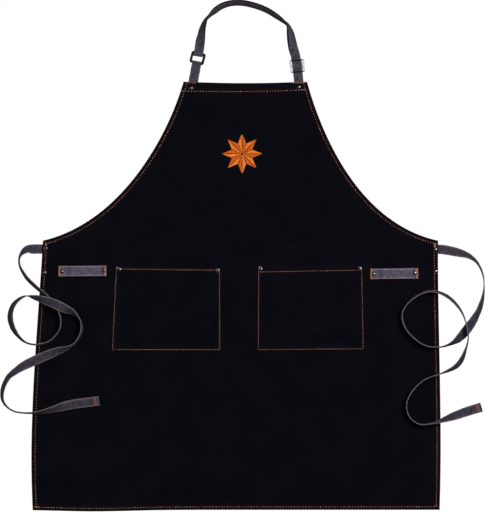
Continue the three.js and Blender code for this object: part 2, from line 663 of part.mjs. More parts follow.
function fittingGeometry(fitting, slots) {
  const bevel = 0.5;
  const outline = roundedOutline(new THREE.Shape(), fitting.across, fitting.along, 3);
  outline.holes.push(...slots);
  const geometry = new THREE.ExtrudeGeometry(outline, {
    depth: fitting.thick - 2 * bevel, bevelEnabled: true, bevelThickness: bevel, bevelSize: bevel,
    bevelOffset: -bevel, bevelSegments: 1, curveSegments: 4,
  });
  geometry.translate(0, 0, bevel);
  return geometry;
}

function ringGeometry() {
  return fittingGeometry(RING, [slot(RING.across - 2 * RING.sideBar, -RING_BAR_INNER, RING_BAR_INNER)]);
}

function sliderGeometry() {
  const outer = SLIDER.along / 2 - BAR;
  const inner = BAR / 2;
  const width = SLIDER.across - 2 * SLIDER.sideBar;
  return fittingGeometry(SLIDER, [slot(width, inner, outer), slot(width, -outer, -inner)]);
}

function rivetTop(rivet) {
  const panel = panelUnder(rivet.x, rivet.y) + CLOTH;
  if (rivet.on === 'pocket') return panel + GAP + CLOTH + HEM_RISE;
  if (rivet.on === 'loop') return panel + GAP + STRAP_THICK;
  return panel + HEM_RISE;
}

function rivetGeometry(rivet) {
  const seat = rivetTop(rivet) + GAP;
  const foot = 0.2;
  const profile = [
    [0, foot], [SHANK_RADIUS, foot], [SHANK_RADIUS, seat], [CAP_RADIUS, seat],
    [0.86 * CAP_RADIUS, seat + 0.55 * CAP_HEIGHT], [0.5 * CAP_RADIUS, seat + 0.9 * CAP_HEIGHT],
    [0, seat + CAP_HEIGHT],
  ];
  const geometry = new THREE.LatheGeometry(profile.map(([x, y]) => new THREE.Vector2(x, y)), RIVET_SIDES);
  geometry.rotateX(Math.PI / 2);
  geometry.translate(rivet.x, rivet.y, 0);
  return geometry;
}

// Assembly

const apron = new THREE.Group();

function addPiece(name, geometry, material) {
  const mesh = new THREE.Mesh(geometry, material);
  mesh.name = name;
  apron.add(mesh);
  return mesh;
}

function addDrilled(name, geometry, material) {
  const rivets = RIVETS.filter((rivet) => rivet.strap === name);
  return addPiece(name, drill(geometry, rivets), material);
}

addPiece('apron_panel', drill(panelGeometry(), RIVETS), CANVAS);
for (const pocket of POCKETS) addDrilled(pocket.name, pocketGeometry(pocket), CANVAS);
for (const loop of LOOPS) addDrilled(loop.name, loopGeometry(loop), DENIM);
addDrilled('neck_tab', neckTabGeometry(), DENIM);
addDrilled('neck_strap', neckStrapGeometry(), DENIM);
addDrilled('tie_left', tieGeometry(TIE_LEFT_ROUTE), DENIM);
addDrilled('tie_right', tieGeometry(TIE_RIGHT_ROUTE), DENIM);

const ring = addPiece('neck_ring', ringGeometry(), BLACK_METAL);
ring.position.set(RING.x, RING.y, RING_LOW);
ring.rotation.z = THREE.MathUtils.degToRad(RING.turn);
const slider = addPiece('neck_slider', sliderGeometry(), BLACK_METAL);
slider.position.set(SLIDER.x, SLIDER.y, SLIDER_LOW);
slider.rotation.z = THREE.MathUtils.degToRad(SLIDER.turn);

for (const rivet of RIVETS) addPiece(rivet.name, rivetGeometry(rivet), DARK_STEEL);

export default apron;
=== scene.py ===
"""Visual model of a utility apron laid flat with its front up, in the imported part's own frame.

Tables are in millimetres, with the bib towards +Y and the floor at zero. MM turns them into metres.
"""

import bisect
import math
import random

import bpy
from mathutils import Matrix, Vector, noise


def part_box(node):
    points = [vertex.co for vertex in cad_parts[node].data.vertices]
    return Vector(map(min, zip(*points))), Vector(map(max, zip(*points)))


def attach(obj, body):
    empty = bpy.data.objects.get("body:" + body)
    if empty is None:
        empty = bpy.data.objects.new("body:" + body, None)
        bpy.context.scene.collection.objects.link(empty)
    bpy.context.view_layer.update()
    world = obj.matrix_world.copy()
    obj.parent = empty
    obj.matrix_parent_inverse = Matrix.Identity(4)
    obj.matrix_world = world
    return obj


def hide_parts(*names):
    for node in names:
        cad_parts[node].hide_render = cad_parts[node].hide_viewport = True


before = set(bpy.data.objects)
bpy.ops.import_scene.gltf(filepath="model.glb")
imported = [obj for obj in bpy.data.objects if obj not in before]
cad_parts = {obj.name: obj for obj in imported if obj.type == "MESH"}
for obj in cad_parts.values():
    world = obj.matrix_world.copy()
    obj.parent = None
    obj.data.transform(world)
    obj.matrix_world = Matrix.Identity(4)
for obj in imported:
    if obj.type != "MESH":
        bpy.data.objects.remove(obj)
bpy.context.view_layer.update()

MM = 0.001
UP = Vector((0.0, 0.0, 1.0))
FAR = 9999.0

# Camera, light and floor
CAMERA = {"x": 13.0, "y": -1.4, "height": 8000.0, "view": 1024.0, "sensor": 36.0}
LIGHTS = [
    {"name": "key_softbox", "x": 2180, "y": 1260, "z": 4340, "width": 1800, "length": 1800, "power": 212},
    {"name": "left_fill", "x": -1700, "y": 200, "z": 1500, "width": 900, "length": 1500, "power": 8},
]
WORLD_STRENGTH = 0.2
FLOOR_SIZE = 12000
FLOOR_LOW = -0.5
FLOOR_GLOW = 1.02

# Cloth and strap sizes
CLOTH = 1.4
HEM_RISE = 1.0
HEM_WIDTH = 9.0
ROPE = {"height": 0.1, "pitch": 11.0, "slant": 0.9}
FOLD_STEP = 1.5
STRAP_WIDTH = 19.0
STRAP_THICK = 2.0
STRAP_BODY = 1.7
GAP = 0.3
TUCK = 20.0
TUCK_LIFT = STRAP_THICK + GAP
BIB_TUCK = {"flat": 25.0, "fade": 60.0}
TIE_TUCK = {"flat": 14.0, "fade": 28.0}

# Panel outline: two curves on each side, from the bib's corner down to the hem's corner
BIB_TOP = 347.0
ARMPIT = 29.4
HEM = -509.0
BIB_DIP = 2.6
BIB_DIP_FADE = 80.0
HEM_DIP = {"depth": 3.0, "middle": -285.0, "reach": 110.0, "fade": 120.0}
SIDE_LENGTH = ARMPIT - HEM
SIDE_THIRD = SIDE_LENGTH / 3
EDGES = {
    "left": {
        "inward": 1.0,
        "armhole": [(-105, BIB_TOP), (-131.6, 252.9), (-220.9, 68.9), (-386, ARMPIT)],
        "side": [(-386, ARMPIT), (-397, ARMPIT - SIDE_THIRD), (-416, HEM + SIDE_THIRD), (-406.6, HEM)],
    },
    "right": {
        "inward": -1.0,
        "armhole": [(142, BIB_TOP), (164.1, 268), (232.8, 67.4), (404, ARMPIT)],
        "side": [(404, ARMPIT), (403.4, ARMPIT - SIDE_THIRD), (413.6, HEM + SIDE_THIRD), (407.2, HEM)],
    },
}

# Panel rows and columns: distances from the bib's top, from the hem and from the side edges
BIB_RATE = 282.3               # millimetres down for each unit along the armhole curve, at the bib's top
ARMPIT_RATE = 510.0            # and along the curve at the armpit
MITRE_REACH = 30.0
SQUARE_FROM = 0.5
BIB_ROWS = [0, 0.3, 0.7, 1.3, 3, 6, 10, 14, 16.3, 17, 17.6, 18.2, 18.9, 19.7, 20.4, 22, 26]
HEM_ROWS = [26, 18, 13, 10.5, 9.8, 9, 7.6, 6.7, 6.1, 5.5, 4.4, 2.6, 1.3, 0.7, 0.3, 0]
EDGE_COLUMNS = [0, 0.3, 0.7, 1.3, 2.6, 4.6, 6.2, 6.8, 7.4, 8, 9, 9.8, 10.5, 13]
ARMHOLE_STEPS = 72
SIDE_STEPS = 84
MIDDLE_COLUMNS = 128
EDGE_ROUND = 1.3
EDGE_LEAST = 0.2               # share of the cloth's thickness left at a folded edge

# Seams sewn through the panel: how far in each is, its dent and lint, and the wear along cloth edges
EDGE_SEAM = 7.4
BIB_SEAM = 17.6
BIB_FOLD = 18.9
HEM_SEAM = 6.1
SEAM_DENT = 0.32
SEAM_HALF = 0.8
SEAM_STAIN = 2.7               # reach of the thread's lint on the cloth beside a seam
SEAM_ENDS = 0.006
SIDE_SEAM_STOP = 0.992
SEAM_STEPS = {"armhole": 160, "side": 180, "level": 200}
PANEL_WEAR = {"edge": 0.9, "reach": 2.4, "hem": 0.12}
POCKET_WEAR = {"edge": 0.8, "reach": 2.2}

# Low folds left in the cloth: a line on the floor, its height and its reach to either side
FOLDS = [
    {"start": (-378, -398), "end": (-285, -502), "height": 4.0, "reach": 36.0},
    {"start": (-296, -405), "end": (-238, -505), "height": 2.5, "reach": 36.0},
]

# Unevenness of cloth lying loose: its height everywhere and more of it on the bib and the skirt
RIPPLE = {"base": 0.5, "all": 0.2, "bib": 0.9, "skirt": 1.2}
RIPPLE_BIB = {"start": (60, 140), "stop": (280, 320)}
RIPPLE_SKIRT = {"start": (-290, -215), "side": (230, 290)}
RIPPLE_WAVES = [
    {"x": 75, "y": 95, "seed": 3.1, "height": 0.55},
    {"x": 26, "y": 38, "seed": 8.4, "height": 0.22},
]

# Patch pockets: corners as laid, and how far below each end of the mouth its stitches are
POCKET_STAND = 6.0
POCKET_SEAM = 13.0
POCKET_SWELL = 40.0
POCKET_EDGE_ROWS = [0, 0.3, 0.7, 1.3, 2, 2.6, 3.2, 4.2, 6.4, 7.2, 8, 10, 13]
POCKET_STEP = 4.0
POCKET_STITCH = 2.6
POCKET_TURN = 7.0
POCKET_TURN_RISE = 0.5
POCKET_CREASE = {"x": 34, "y": 46, "seed": 5.7, "height": 0.5}
POCKET_LINE_STEPS = 90
MOUTH_ROWS = [0, 0.3, 0.7, 1.3, 2.4]
MOUTH_STEP = 0.6
MOUTH_FIRST = 5
MOUTH_PAST = 4.5
MOUTH_FOLD = 1.6
POCKETS = [
    {
        "name": "pocket_left", "mouth": (5.0, 4.2),
        "top_left": (-241.4, -22.4), "top_right": (-30.6, -25.8),
        "low_left": (-249.6, -191.2), "low_right": (-30.0, -191.2),
    },
    {
        "name": "pocket_right", "mouth": (12.0, 7.8),
        "top_left": (42.8, -21.4), "top_right": (253.6, -21.8),
        "low_left": (41.8, -191.2), "low_right": (257.0, -189.4),
    },
]

# Towel loops: riveted at both ends, slack between; half their shape as share along, share of the slack
LOOP_WIDTH = 21.0
LOOP_SLACK = 6.0
LOOP_STITCH_INSET = 6.0
LOOPS = [
    {"name": "towel_loop_left", "start": (-355, -31.8), "end": (-259, -31)},
    {"name": "towel_loop_right", "start": (268.4, -37.2), "end": (364.4, -36.1)},
]
LOOP_HALF = [(0, 0), (0.08, 0), (0.14, 0.02), (0.2, 0.4), (0.27, 0.88), (0.36, 1)]
LOOP_MIDDLE = (0.5, 1.03)

# Rivets: what they hold and what each is called there, and the cap's profile: radius, height
RIVET_PLACES = {
    "bib": ("left", "right"),
    "side": ("left_upper", "left_lower", "right_upper", "right_lower"),
    "pocket_left": ("outer", "inner"),
    "pocket_right": ("inner", "outer"),
    "loop_left": ("outer", "inner"),
    "loop_right": ("inner", "outer"),
}
RIVET_SIDES = 32
SHANK_RADIUS = 1.5
CAP_HEIGHT = 2.1
CAP_PROFILE = [
    (0.7, 2.07), (1.5, 1.97), (2.2, 1.82), (2.8, 1.62), (3.02, 1.2), (3.14, 0.78), (3.35, 0.8), (3.7, 0.74),
    (3.93, 0.5), (4.0, 0.22), (3.9, 0.0),
]

# Ring and slider: the lean of the strap there, their own turn in plan, and a share of painted reflection,
# pale on the slider's side bars
RING = {
    "x": -76.7, "y": 394.4, "lean": -10.5, "turn": -15.0,
    "across": 29.4, "along": 23.6, "thick": 2.4, "side_bar": 5.0, "end_bar": 3.2, "corner": 4.2, "painted_reflection": 0.0,
}
RING_FOLDS = {"strap": 6.3, "tab": -9.4}        # the straps' folds, from the ring's middle
SLIDER = {
    "x": 122.4, "y": 378.4, "lean": 5.5, "above": 10.0, "turn": 5.5,
    "across": 29.5, "along": 25.5, "thick": 2.2, "side_bar": 4.9, "end_bar": 2.2, "corner": 2.4, "painted_reflection": 1.0,
}
BAR_SIDES = 14
CORNER_STEPS = 8
BAR_ROUNDNESS = 0.75
# Painted reflection on the bars: none on the end bars, full on the side bars
BAR_REFLECTION_SPAN = (0.3, 0.9)
MIDDLE_BAR = {"steps": 6, "thick": 0.9}
TAB_LAP = 25.0
FOLD_DEGREES = 30
NECK_STITCH_START = 3.0

# Heights of the neck strap's layers, and of the folds and the hump they make
LAYER_GAP = 0.4
SLIDER_PLAY = 0.5
HUMP_PLAY = 0.4
LAYER = (STRAP_THICK + LAYER_GAP) / 2
DOUBLED_HALF = LAYER + STRAP_THICK / 2
RING_LOW = STRAP_THICK + GAP
FOLD_RADIUS = RING["thick"] / 2 + GAP + STRAP_THICK / 2
SLIDER_LOW = 2 * DOUBLED_HALF + SLIDER_PLAY
SLIDER_HUMP = SLIDER_LOW + SLIDER["thick"] + GAP + STRAP_THICK / 2 + HUMP_PLAY
LOW_LAYER = STRAP_THICK / 2
HIGH_LAYER = LOW_LAYER + 2 * LAYER
FOLD_TOP = RING_LOW + RING["thick"] / 2 + FOLD_RADIUS
RING_BAR_INNER = RING["along"] / 2 - RING["end_bar"]

# Doubled neck strap from ring to slider: x, y, roll (0 lies flat), gap of the layers, lean of the inner one
NECK_ROUTE = [
    (-73, 416, -4, 1, 0), (-72.2, 422, -15, 1.2, 0), (-70, 435, -40, 1.5, 0), (-66, 456, -62, 1.0, 5),
    (-58.5, 474, -79, -0.6, 12), (-43.6, 490, -105, -0.6, 14), (-29, 498.5, -110, 0.6, 6),
    (-12, 503.2, -112, 1.6, 0), (9, 504.5, -112, 1.6, 0), (37, 499, -112, 1.6, 0),
    (62.6, 490, -107, 0.6, 6), (81.4, 479.8, -99, -0.6, 14), (93.4, 471.2, -90, -0.7, 15),
    (103.6, 460.2, -76, -0.5, 12), (108.6, 443.6, -50, 2.0, 5), (111.4, 427.5, -37, 3, 0),
    (114.2, 414, -22, 2.4, 0), (116.5, 406.5, -6, 1.6, 0),
]

# Routes of the side ties from behind the panel to their free ends: x, y, roll, height lain on
TIE_LEFT_ROUTE = [
    (-363, 12, 0, 0), (-404, 12.4, 0, 0), (-419, 10.5, 42, 0), (-431, -1, 74, 0), (-432.5, -18, 79, 0.3),
    (-418, -45, 68, 2), (-390, -71.5, 69, 3), (-380, -80.5, 64, 2.8), (-366, -94, 82, 2.2),
    (-354, -111, 97, 2), (-350, -128, 91, 1.9), (-352.4, -147.5, 88, 1.9), (-373, -172, 97, 2.3),
    (-405, -178, 98, 2.8), (-426, -170, 104, 0.8), (-446, -144, 122, 0), (-451, -120, 127, 0),
    (-442, -96, 116, 0.8), (-421, -82, 96, 3), (-402, -84.4, 60, 7), (-381, -89.8, 33, 13.4),
    (-359.5, -97.8, 9, 22.4), (-346.5, -103.8, 16, 21.8), (-324, -115.8, 62, 5),
    (-310.5, -130.5, 91, 1.9), (-308.8, -152, 100, 1.9), (-322, -175, 94, 1.9), (-336, -184, 109, 1.9),
    (-354, -190, 138, 1.9), (-381, -201, 172, 2.9), (-408, -213, 180, 2.9), (-432.5, -226, 216, 1.2),
    (-456, -246, 238, 0), (-466.5, -270, 244, 0), (-465, -292, 254, 0), (-447, -310, 261, 0.6),
    (-408, -315, 259, 2.9), (-372, -309, 236, 2.6), (-333, -299, 196, 1.9), (-273, -291, 180, 1.9),
]
TIE_RIGHT_ROUTE = [
    (384, 12, 0, 0), (412, 11.6, 0, 0), (438, 6.6, -20, 0), (463, -1, -53, 0), (481, -14, -73, 0),
    (493, -38, -81, 0), (495.5, -63, -84, 0), (491, -92, -63, 0), (484, -112, -51, 0),
    (473.5, -131, -32, 0), (461.5, -148.5, -12, 0), (446, -165, -36, 0.4), (430, -176, -70, 1.6),
    (409, -183, -84, 2.9), (379, -180.5, -90, 2.6), (354, -164, -93, 1.9), (337, -142, -95, 1.9),
    (332, -118, -94, 1.9), (342, -97.5, -92, 1.9), (363.8, -79.4, -84, 1.9), (388, -71.5, -83, 2.7),
    (410.6, -76.2, -74, 2.9), (430.2, -88.4, -71, 1.4), (447.5, -108.2, -77, 3.5),
    (457, -128.4, -84, 9.4), (462, -148, -84, 9), (463.6, -165, -84, 6), (458.4, -188.6, -75, 1.4),
    (448.4, -212, -56, 0), (435.2, -224.6, -63, 1), (406, -237.5, -84, 2.9), (377.5, -248.2, -86, 2.2),
    (353.2, -270.4, -85, 1.9), (340.8, -296.8, -87, 1.9), (346, -322, -90, 1.9), (366, -337, -90, 1.9),
    (398, -334, -81, 2.9), (430, -323.5, -43, 2.4), (460, -313, -12, 0.5), (491, -303.5, 0, 0),
]
TIES = [
    {"name": "tie_left", "route": TIE_LEFT_ROUTE, "exit": (-387, 12.2, 1.0), "length": 1.03},
    {"name": "tie_right", "route": TIE_RIGHT_ROUTE, "exit": (405, 11.7, 1.0), "length": 1.02},
]

# A strap's section from one edge to its middle: place across and height, as shares of half its size
STRAP_SECTION = [
    (1.0, 0.0), (0.988, 0.55), (0.94, 0.95), (0.89, 1.0), (0.83, 0.74), (0.77, 1.0), (0.4, 0.96), (0.0, 0.93),
]
STRAP_STEP = 2.6
ROUTE_STEPS = 10
CREASE = {"pitch": 9.0, "slant": 0.3, "width": 40.0, "seed": 0.7}
EDGE_SWAY = {"reach": 0.25, "pitch": 23.0}
# A strap's crease height, and how far in from its edges the edge colour reaches: wear with a painted
# highlight on ties, painted shade on the neck strap
STRAP_LOOKS = {
    "tie": {"crease": 2.2, "edge": 0.3},
    "loop": {"crease": 0.25, "edge": 0.3},
    "neck": {"crease": 0.15, "edge": 0.09},
}
END_HEM = {"length": 13.0, "rise": 0.3, "step": 1.0}
TIE_STITCH_END = 2.0
END_ROWS = {"red": (4.4, 10.4), "light": (7.4,)}

# Thread: its thickness, a stitch's shape (share along, radius, lift) and how uneven the stitches are
THREAD_RADIUS = 0.62
THREAD_SIDES = 5
THREAD_SHAPE = [
    (0.0, 0.45, -0.9), (0.14, 0.95, -0.1), (0.5, 1.0, 0.25), (0.86, 0.95, -0.1), (1.0, 0.45, -0.9),
]
THREAD_UNEVEN = (0.92, 1.08)
STITCH_PITCH = 5.8
STITCH_FILL = 0.4
STITCH_HALF = (0.46, 0.52)
STITCH_SHIFT = 0.05
STITCH_SWAY = 0.12
STITCH_SINK = 0.2
EDGE_PITCH = 5.3               # stitches down the armholes and sides
EDGE_THREAD_RADIUS = 0.55
SHORT_PITCH = 4.0
STRAP_THREAD_RADIUS = 0.36
LOOP_THREAD_RADIUS = 0.52
STRAP_STITCH = {"pitch": 4.4, "across": 0.83, "half": 0.36, "uneven": (0.92, 1.06), "seat": 0.8}
END_STITCH = {"pitch": 2.8, "half": 0.4, "sway": 0.1, "seat": 0.94}
TACK = {"pitch": 1.3, "radius": 0.55, "lean": 0.4, "uneven": (0.9, 1.08), "crown": 0.25}
BAND = {"pitch": 0.7, "radius": 0.38, "lean": 0.25, "uneven": (0.88, 1.08), "seat": 0.98, "crown": 0.2}

# Bar tacks on the panel: x and y of the middle, length, width, turn in degrees, and thread
BAR_TACKS = [
    (-87.8, 345.2, 20.5, 3.4, -2, "rust"),
    (126.8, 345.2, 26.0, 2.8, 1, "tan"),
    (135.5, 331.4, 11.0, 1.8, 0, "tan"),
    (397.6, 20.6, 8.0, 5.4, 84, "golden"),
    (-380.2, 22.4, 8.0, 3.4, 96, "tan"),
    (-399.0, -503.0, 11.0, 2.4, 0, "golden"),
    (400.0, -501.5, 9.0, 2.6, 0, "rust"),
]

# Short rows that hold the ties behind the armpits, from end to end, and sizes of the smaller tacks
SHORT_SEAMS = [((-383.6, 18), (-383.8, 0)), ((401.6, 18), (401.6, 0))]
POCKET_TACK = {"length": 7.0, "width": 1.8, "inset": 3.4, "down": 2.2}
LOOP_BAND = {"inset": 2.4, "width": 4.4}

# Embroidered star on the bib: eight plain lozenges, each of two tones
STAR = {
    "x": 12.0, "y": 203.0, "points": 8, "radius": 41.0, "lift": 0.15,
    "pitch": 0.7, "thread": 0.42, "slant": 2.0, "crown": 0.5, "parting": 0.2, "least": 0.6,
}
STAR_OUTLINE = {"start": 1.5, "steps": 12, "pitch": 1.9, "thread": 0.4}

# Colours: dark, middle and light of each denim and then its edges (worn with a painted highlight on the ties,
# worn on the loops, painted shade on the neck strap), and dark and light of each thread
BLACK_METAL = {
    "dark": (0.002, 0.002, 0.0025), "light": (0.006, 0.006, 0.007), "metallic": 0.0, "shine": 0.08,
    "rough_low": 0.38, "rough_high": 0.55,
}
GUNMETAL = {
    "dark": (0.075, 0.072, 0.069), "light": (0.145, 0.14, 0.135), "metallic": 1.0, "shine": 0.5,
    "rough_low": 0.07, "rough_high": 0.15,
}
DENIM_COLOURS = {
    "tie": ((0.014, 0.013, 0.02), (0.041, 0.036, 0.053), (0.085, 0.076, 0.1), (0.155, 0.138, 0.15)),
    "loop": ((0.037, 0.032, 0.052), (0.085, 0.072, 0.108), (0.16, 0.138, 0.185), (0.17, 0.14, 0.165)),
    # The neck strap's near-black edge colour is painted shade.
    "neck": ((0.02, 0.018, 0.027), (0.054, 0.047, 0.065), (0.11, 0.096, 0.122), (0.003, 0.003, 0.004)),
}
THREAD_COLOURS = {
    "rose_brown": ((0.2, 0.095, 0.09), (0.74, 0.54, 0.515)),
    "red": ((0.3, 0.05, 0.028), (0.55, 0.12, 0.07)),
    "dusty": ((0.16, 0.1, 0.095), (0.36, 0.25, 0.24)),
    "peach": ((0.32, 0.17, 0.175), (0.68, 0.46, 0.47)),
    "golden": ((0.3, 0.11, 0.052), (0.52, 0.23, 0.12)),
    "rust": ((0.14, 0.035, 0.024), (0.36, 0.11, 0.075)),
    "tan": ((0.2, 0.085, 0.045), (0.38, 0.18, 0.1)),
    "amber": ((0.78, 0.2, 0.014), (0.9, 0.3, 0.03)),
    "deep_orange": ((0.6, 0.09, 0.008), (0.76, 0.15, 0.014)),
    "outline": ((0.05, 0.008, 0.004), (0.12, 0.02, 0.008)),
}
WAVE_SCALE = 0.314             # a wave texture's scale times the pitch of its bands

SEED = 11
chance = random.Random(SEED)


# Small helpers

def smooth_step(low, high, value):
    part = min(max((value - low) / (high - low), 0.0), 1.0)
    return part * part * (3 - 2 * part)


def bezier_point(corners, along):
    a, b, c, d = [Vector(corner) for corner in corners]
    rest = 1 - along
    return a * rest**3 + b * (3 * rest * rest * along) + c * (3 * rest * along * along) + d * along**3


def bezier_tangent(corners, along):
    a, b, c, d = [Vector(corner) for corner in corners]
    rest = 1 - along
    slope = (b - a) * (rest * rest) + (c - b) * (2 * rest * along) + (d - c) * (along * along)
    return slope.normalized()


def distance_to_line(x, y, start, end):
    run = Vector(end) - Vector(start)
    offset = Vector((x, y)) - Vector(start)
    place = min(max(offset.dot(run) / run.length_squared, 0.0), 1.0)
    return (offset - run * place).length


def lean_direction(degrees):
    angle = math.radians(degrees)
    return Vector((-math.sin(angle), math.cos(angle)))


def hermite(here, there, first, last, part, reach=1.0):
    """A place between two others, from the slope at each and the reach that the slopes are for."""
    square = part * part
    cube = square * part
    return (
        here * (2 * cube - 3 * square + 1) + first * (reach * (cube - 2 * square + part))
        + there * (3 * square - 2 * cube) + last * (reach * (cube - square))
    )


def route_point(points, place):
    """A point on the smooth centripetal curve through the points; place counts points."""
    index = min(int(place), len(points) - 2)
    here = points[index]
    there = points[index + 1]
    before = points[index - 1] if index > 0 else here * 2 - there
    after = points[index + 2] if index + 2 < len(points) else there * 2 - here
    gaps = [max((q - p).length, 1e-6) ** 0.5 for p, q in ((before, here), (here, there), (there, after))]
    first = (here - before) / gaps[0] - (there - before) / (gaps[0] + gaps[1]) + (there - here) / gaps[1]
    last = (there - here) / gaps[1] - (after - here) / (gaps[1] + gaps[2]) + (after - there) / gaps[2]
    return hermite(here, there, first, last, place - index, gaps[1])


def smooth_value(values, place):
    """A number on the smooth curve through evenly spaced values."""
    index = min(int(place), len(values) - 2)
    here = values[index]
    there = values[index + 1]
    before = values[max(index - 1, 0)]
    after = values[min(index + 2, len(values) - 1)]
    return hermite(here, there, (there - before) / 2, (after - here) / 2, place - index)


def run_lengths(points):
    """The length along a run at each of its points."""
    lengths = [0.0]
    for here, there in zip(points, points[1:]):
        lengths.append(lengths[-1] + (there - here).length)
    return lengths


def point_along(points, lengths, length):
    index = min(max(bisect.bisect_right(lengths, length) - 1, 0), len(points) - 2)
    span = max(lengths[index + 1] - lengths[index], 1e-6)
    return points[index].lerp(points[index + 1], (length - lengths[index]) / span)


def sway(reach):
    return chance.uniform(-reach, reach)


def wave_height(table, x, y):
    return table["height"] * noise.noise(Vector((x / table["x"], y / table["y"], table["seed"])))


def tube_faces(base, rings, sides, closed=False):
    """Faces between rings of points that follow each other from a first point on."""
    faces = []
    for ring in range(rings if closed else rings - 1):
        here = base + ring * sides
        there = base + (ring + 1) % rings * sides
        for step in range(sides):
            after = (step + 1) % sides
            faces.append((here + step, there + step, there + after, here + after))
    return faces


def end_faces(base, rings, sides):
    last = base + (rings - 1) * sides
    return [tuple(range(base, base + sides)), tuple(reversed(range(last, last + sides)))]


# Meshes and pieces

def add_object(name, data):
    added = bpy.data.objects.new(name, data)
    bpy.context.scene.collection.objects.link(added)
    return added


def new_piece(name, vertices, faces, point_values=None, flat_places=None):
    mesh = bpy.data.meshes.new(name)
    mesh.from_pydata([vertex * MM for vertex in vertices], [], faces)
    mesh.polygons.foreach_set("use_smooth", [True] * len(mesh.polygons))
    for key, values in (point_values or {}).items():
        mesh.attributes.new(key, "FLOAT", "POINT").data.foreach_set("value", values)
    if flat_places is not None:
        layer = mesh.uv_layers.new(name="flat")
        for loop in mesh.loops:
            along, across = flat_places[loop.vertex_index]
            layer.data[loop.index].uv = (along * MM, across * MM)
    mesh.update()
    return add_object(name, mesh)


def finish_piece(piece, material, slot, *nodes):
    piece.data.materials.append(material)
    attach(piece, "root")
    if nodes:
        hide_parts(*nodes)
    return piece


def cloth_piece(name, grid):
    """A closed cloth wall from rows of places: x, y, under face, upper face, wear and seam."""
    rows = len(grid)
    columns = len(grid[0])
    places = [place for row in grid for place in row]
    vertices = [Vector((x, y, over)) for x, y, under, over, wear, seam in places]
    vertices += [Vector((x, y, under)) for x, y, under, over, wear, seam in places]
    point_values = {"wear": [place[4] for place in places] * 2, "seam": [place[5] for place in places] * 2}
    low = rows * columns
    faces = []
    for row in range(rows - 1):
        for column in range(columns - 1):
            a = row * columns + column
            b = a + columns
            faces.append((a, b, b + 1, a + 1))
            faces.append((low + a, low + a + 1, low + b + 1, low + b))
    end = (rows - 1) * columns
    for column in range(columns - 1):
        faces.append((column, column + 1, low + column + 1, low + column))
        faces.append((end + column + 1, end + column, low + end + column, low + end + column + 1))
    for row in range(rows - 1):
        a = row * columns
        b = a + columns
        faces.append((b, a, low + a, low + b))
        faces.append((a + columns - 1, b + columns - 1, low + b + columns - 1, low + a + columns - 1))
    return new_piece(name, vertices, faces, point_values)


class Threads:
    """Short lengths of thread gathered into one mesh."""

    def __init__(self):
        self.vertices = []
        self.faces = []

    def add(self, start, end, up, radius, crown=0.0):
        axis = (end - start).normalized()
        side = axis.cross(up).normalized()
        lift = side.cross(axis)
        base = len(self.vertices)
        for along, thick, rise in THREAD_SHAPE:
            middle = start.lerp(end, along) + lift * (rise * radius)
            middle += lift * (crown * math.sin(math.pi * along))
            for step in range(THREAD_SIDES):
                turn = 2 * math.pi * step / THREAD_SIDES
                reach = side * math.cos(turn) + lift * math.sin(turn)
                self.vertices.append(middle + reach * (radius * thick))
        self.faces += tube_faces(base, len(THREAD_SHAPE), THREAD_SIDES)
        self.faces += end_faces(base, len(THREAD_SHAPE), THREAD_SIDES)

    def run(self, points, pitch=STITCH_PITCH, radius=THREAD_RADIUS):
        """A line of stitches along a run of points."""
        lengths = run_lengths(points)
        for index in range(int(lengths[-1] / pitch)):
            middle = (index + 0.5 + sway(STITCH_SHIFT)) * pitch
            half = pitch * STITCH_FILL * chance.uniform(*STITCH_HALF)
            turn = Vector((sway(STITCH_SWAY), sway(STITCH_SWAY), 0))
            start = point_along(points, lengths, middle - half)
            end = point_along(points, lengths, middle + half)
            self.add(start + turn, end - turn, UP, radius * chance.uniform(*THREAD_UNEVEN))

    def bar(self, middle, length, width, turn):
        """A bar tack: close stitches across a short line."""
        pitch = TACK["pitch"]
        run = Vector((math.cos(turn), math.sin(turn), 0))
        across = Vector((-run.y, run.x, 0))
        lean = run * (TACK["lean"] * pitch)
        for index in range(int(length / pitch)):
            place = middle + run * ((index + 0.5) * pitch - length / 2)
            half = across * (width / 2 * chance.uniform(*TACK["uneven"]))
            self.add(place - half - lean, place + half + lean, UP, TACK["radius"], TACK["crown"])

    def piece(self, name, material, slot):
        return finish_piece(new_piece(name, self.vertices, self.faces), material, slot)


# Materials

def new_material(name):
    material = bpy.data.materials.new(name)
    material.use_nodes = True
    tree = material.node_tree
    return material, tree, tree.nodes["Principled BSDF"]


def set_inputs(tree, node, inputs):
    for key, value in inputs.items():
        if isinstance(value, bpy.types.NodeSocket):
            tree.links.new(value, node.inputs[key])
        else:
            node.inputs[key].default_value = value


def add_node(tree, kind, inputs, **settings):
    node = tree.nodes.new(kind)
    for key, value in settings.items():
        setattr(node, key, value)
    set_inputs(tree, node, inputs)
    return node


def ramp(tree, factor, stops):
    node = add_node(tree, "ShaderNodeValToRGB", {"Fac": factor})
    elements = node.color_ramp.elements
    elements[0].position, elements[0].color = stops[0][0], (*stops[0][1], 1)
    elements[1].position, elements[1].color = stops[-1][0], (*stops[-1][1], 1)
    for place, colour in stops[1:-1]:
        elements.new(place).color = (*colour, 1)
    return node.outputs["Color"]


def math_node(tree, operation, first, second):
    return add_node(tree, "ShaderNodeMath", {0: first, 1: second}, operation=operation).outputs["Value"]


def mix_colour(tree, factor, first, second):
    node = add_node(tree, "ShaderNodeMix", {0: factor, 6: first, 7: second}, data_type="RGBA")
    return node.outputs[2]


def noise_node(tree, place, scale, detail=3.0):
    node = add_node(tree, "ShaderNodeTexNoise", {"Vector": place, "Scale": scale, "Detail": detail})
    return node.outputs["Fac"]


def object_place(tree):
    return add_node(tree, "ShaderNodeTexCoord", {}).outputs["Object"]


def point_value(tree, name):
    return add_node(tree, "ShaderNodeAttribute", {}, attribute_name=name).outputs["Fac"]


def turned_place(tree, place, degrees):
    inputs = {"Vector": place, "Rotation": (0, 0, math.radians(degrees))}
    return add_node(tree, "ShaderNodeMapping", inputs).outputs["Vector"]


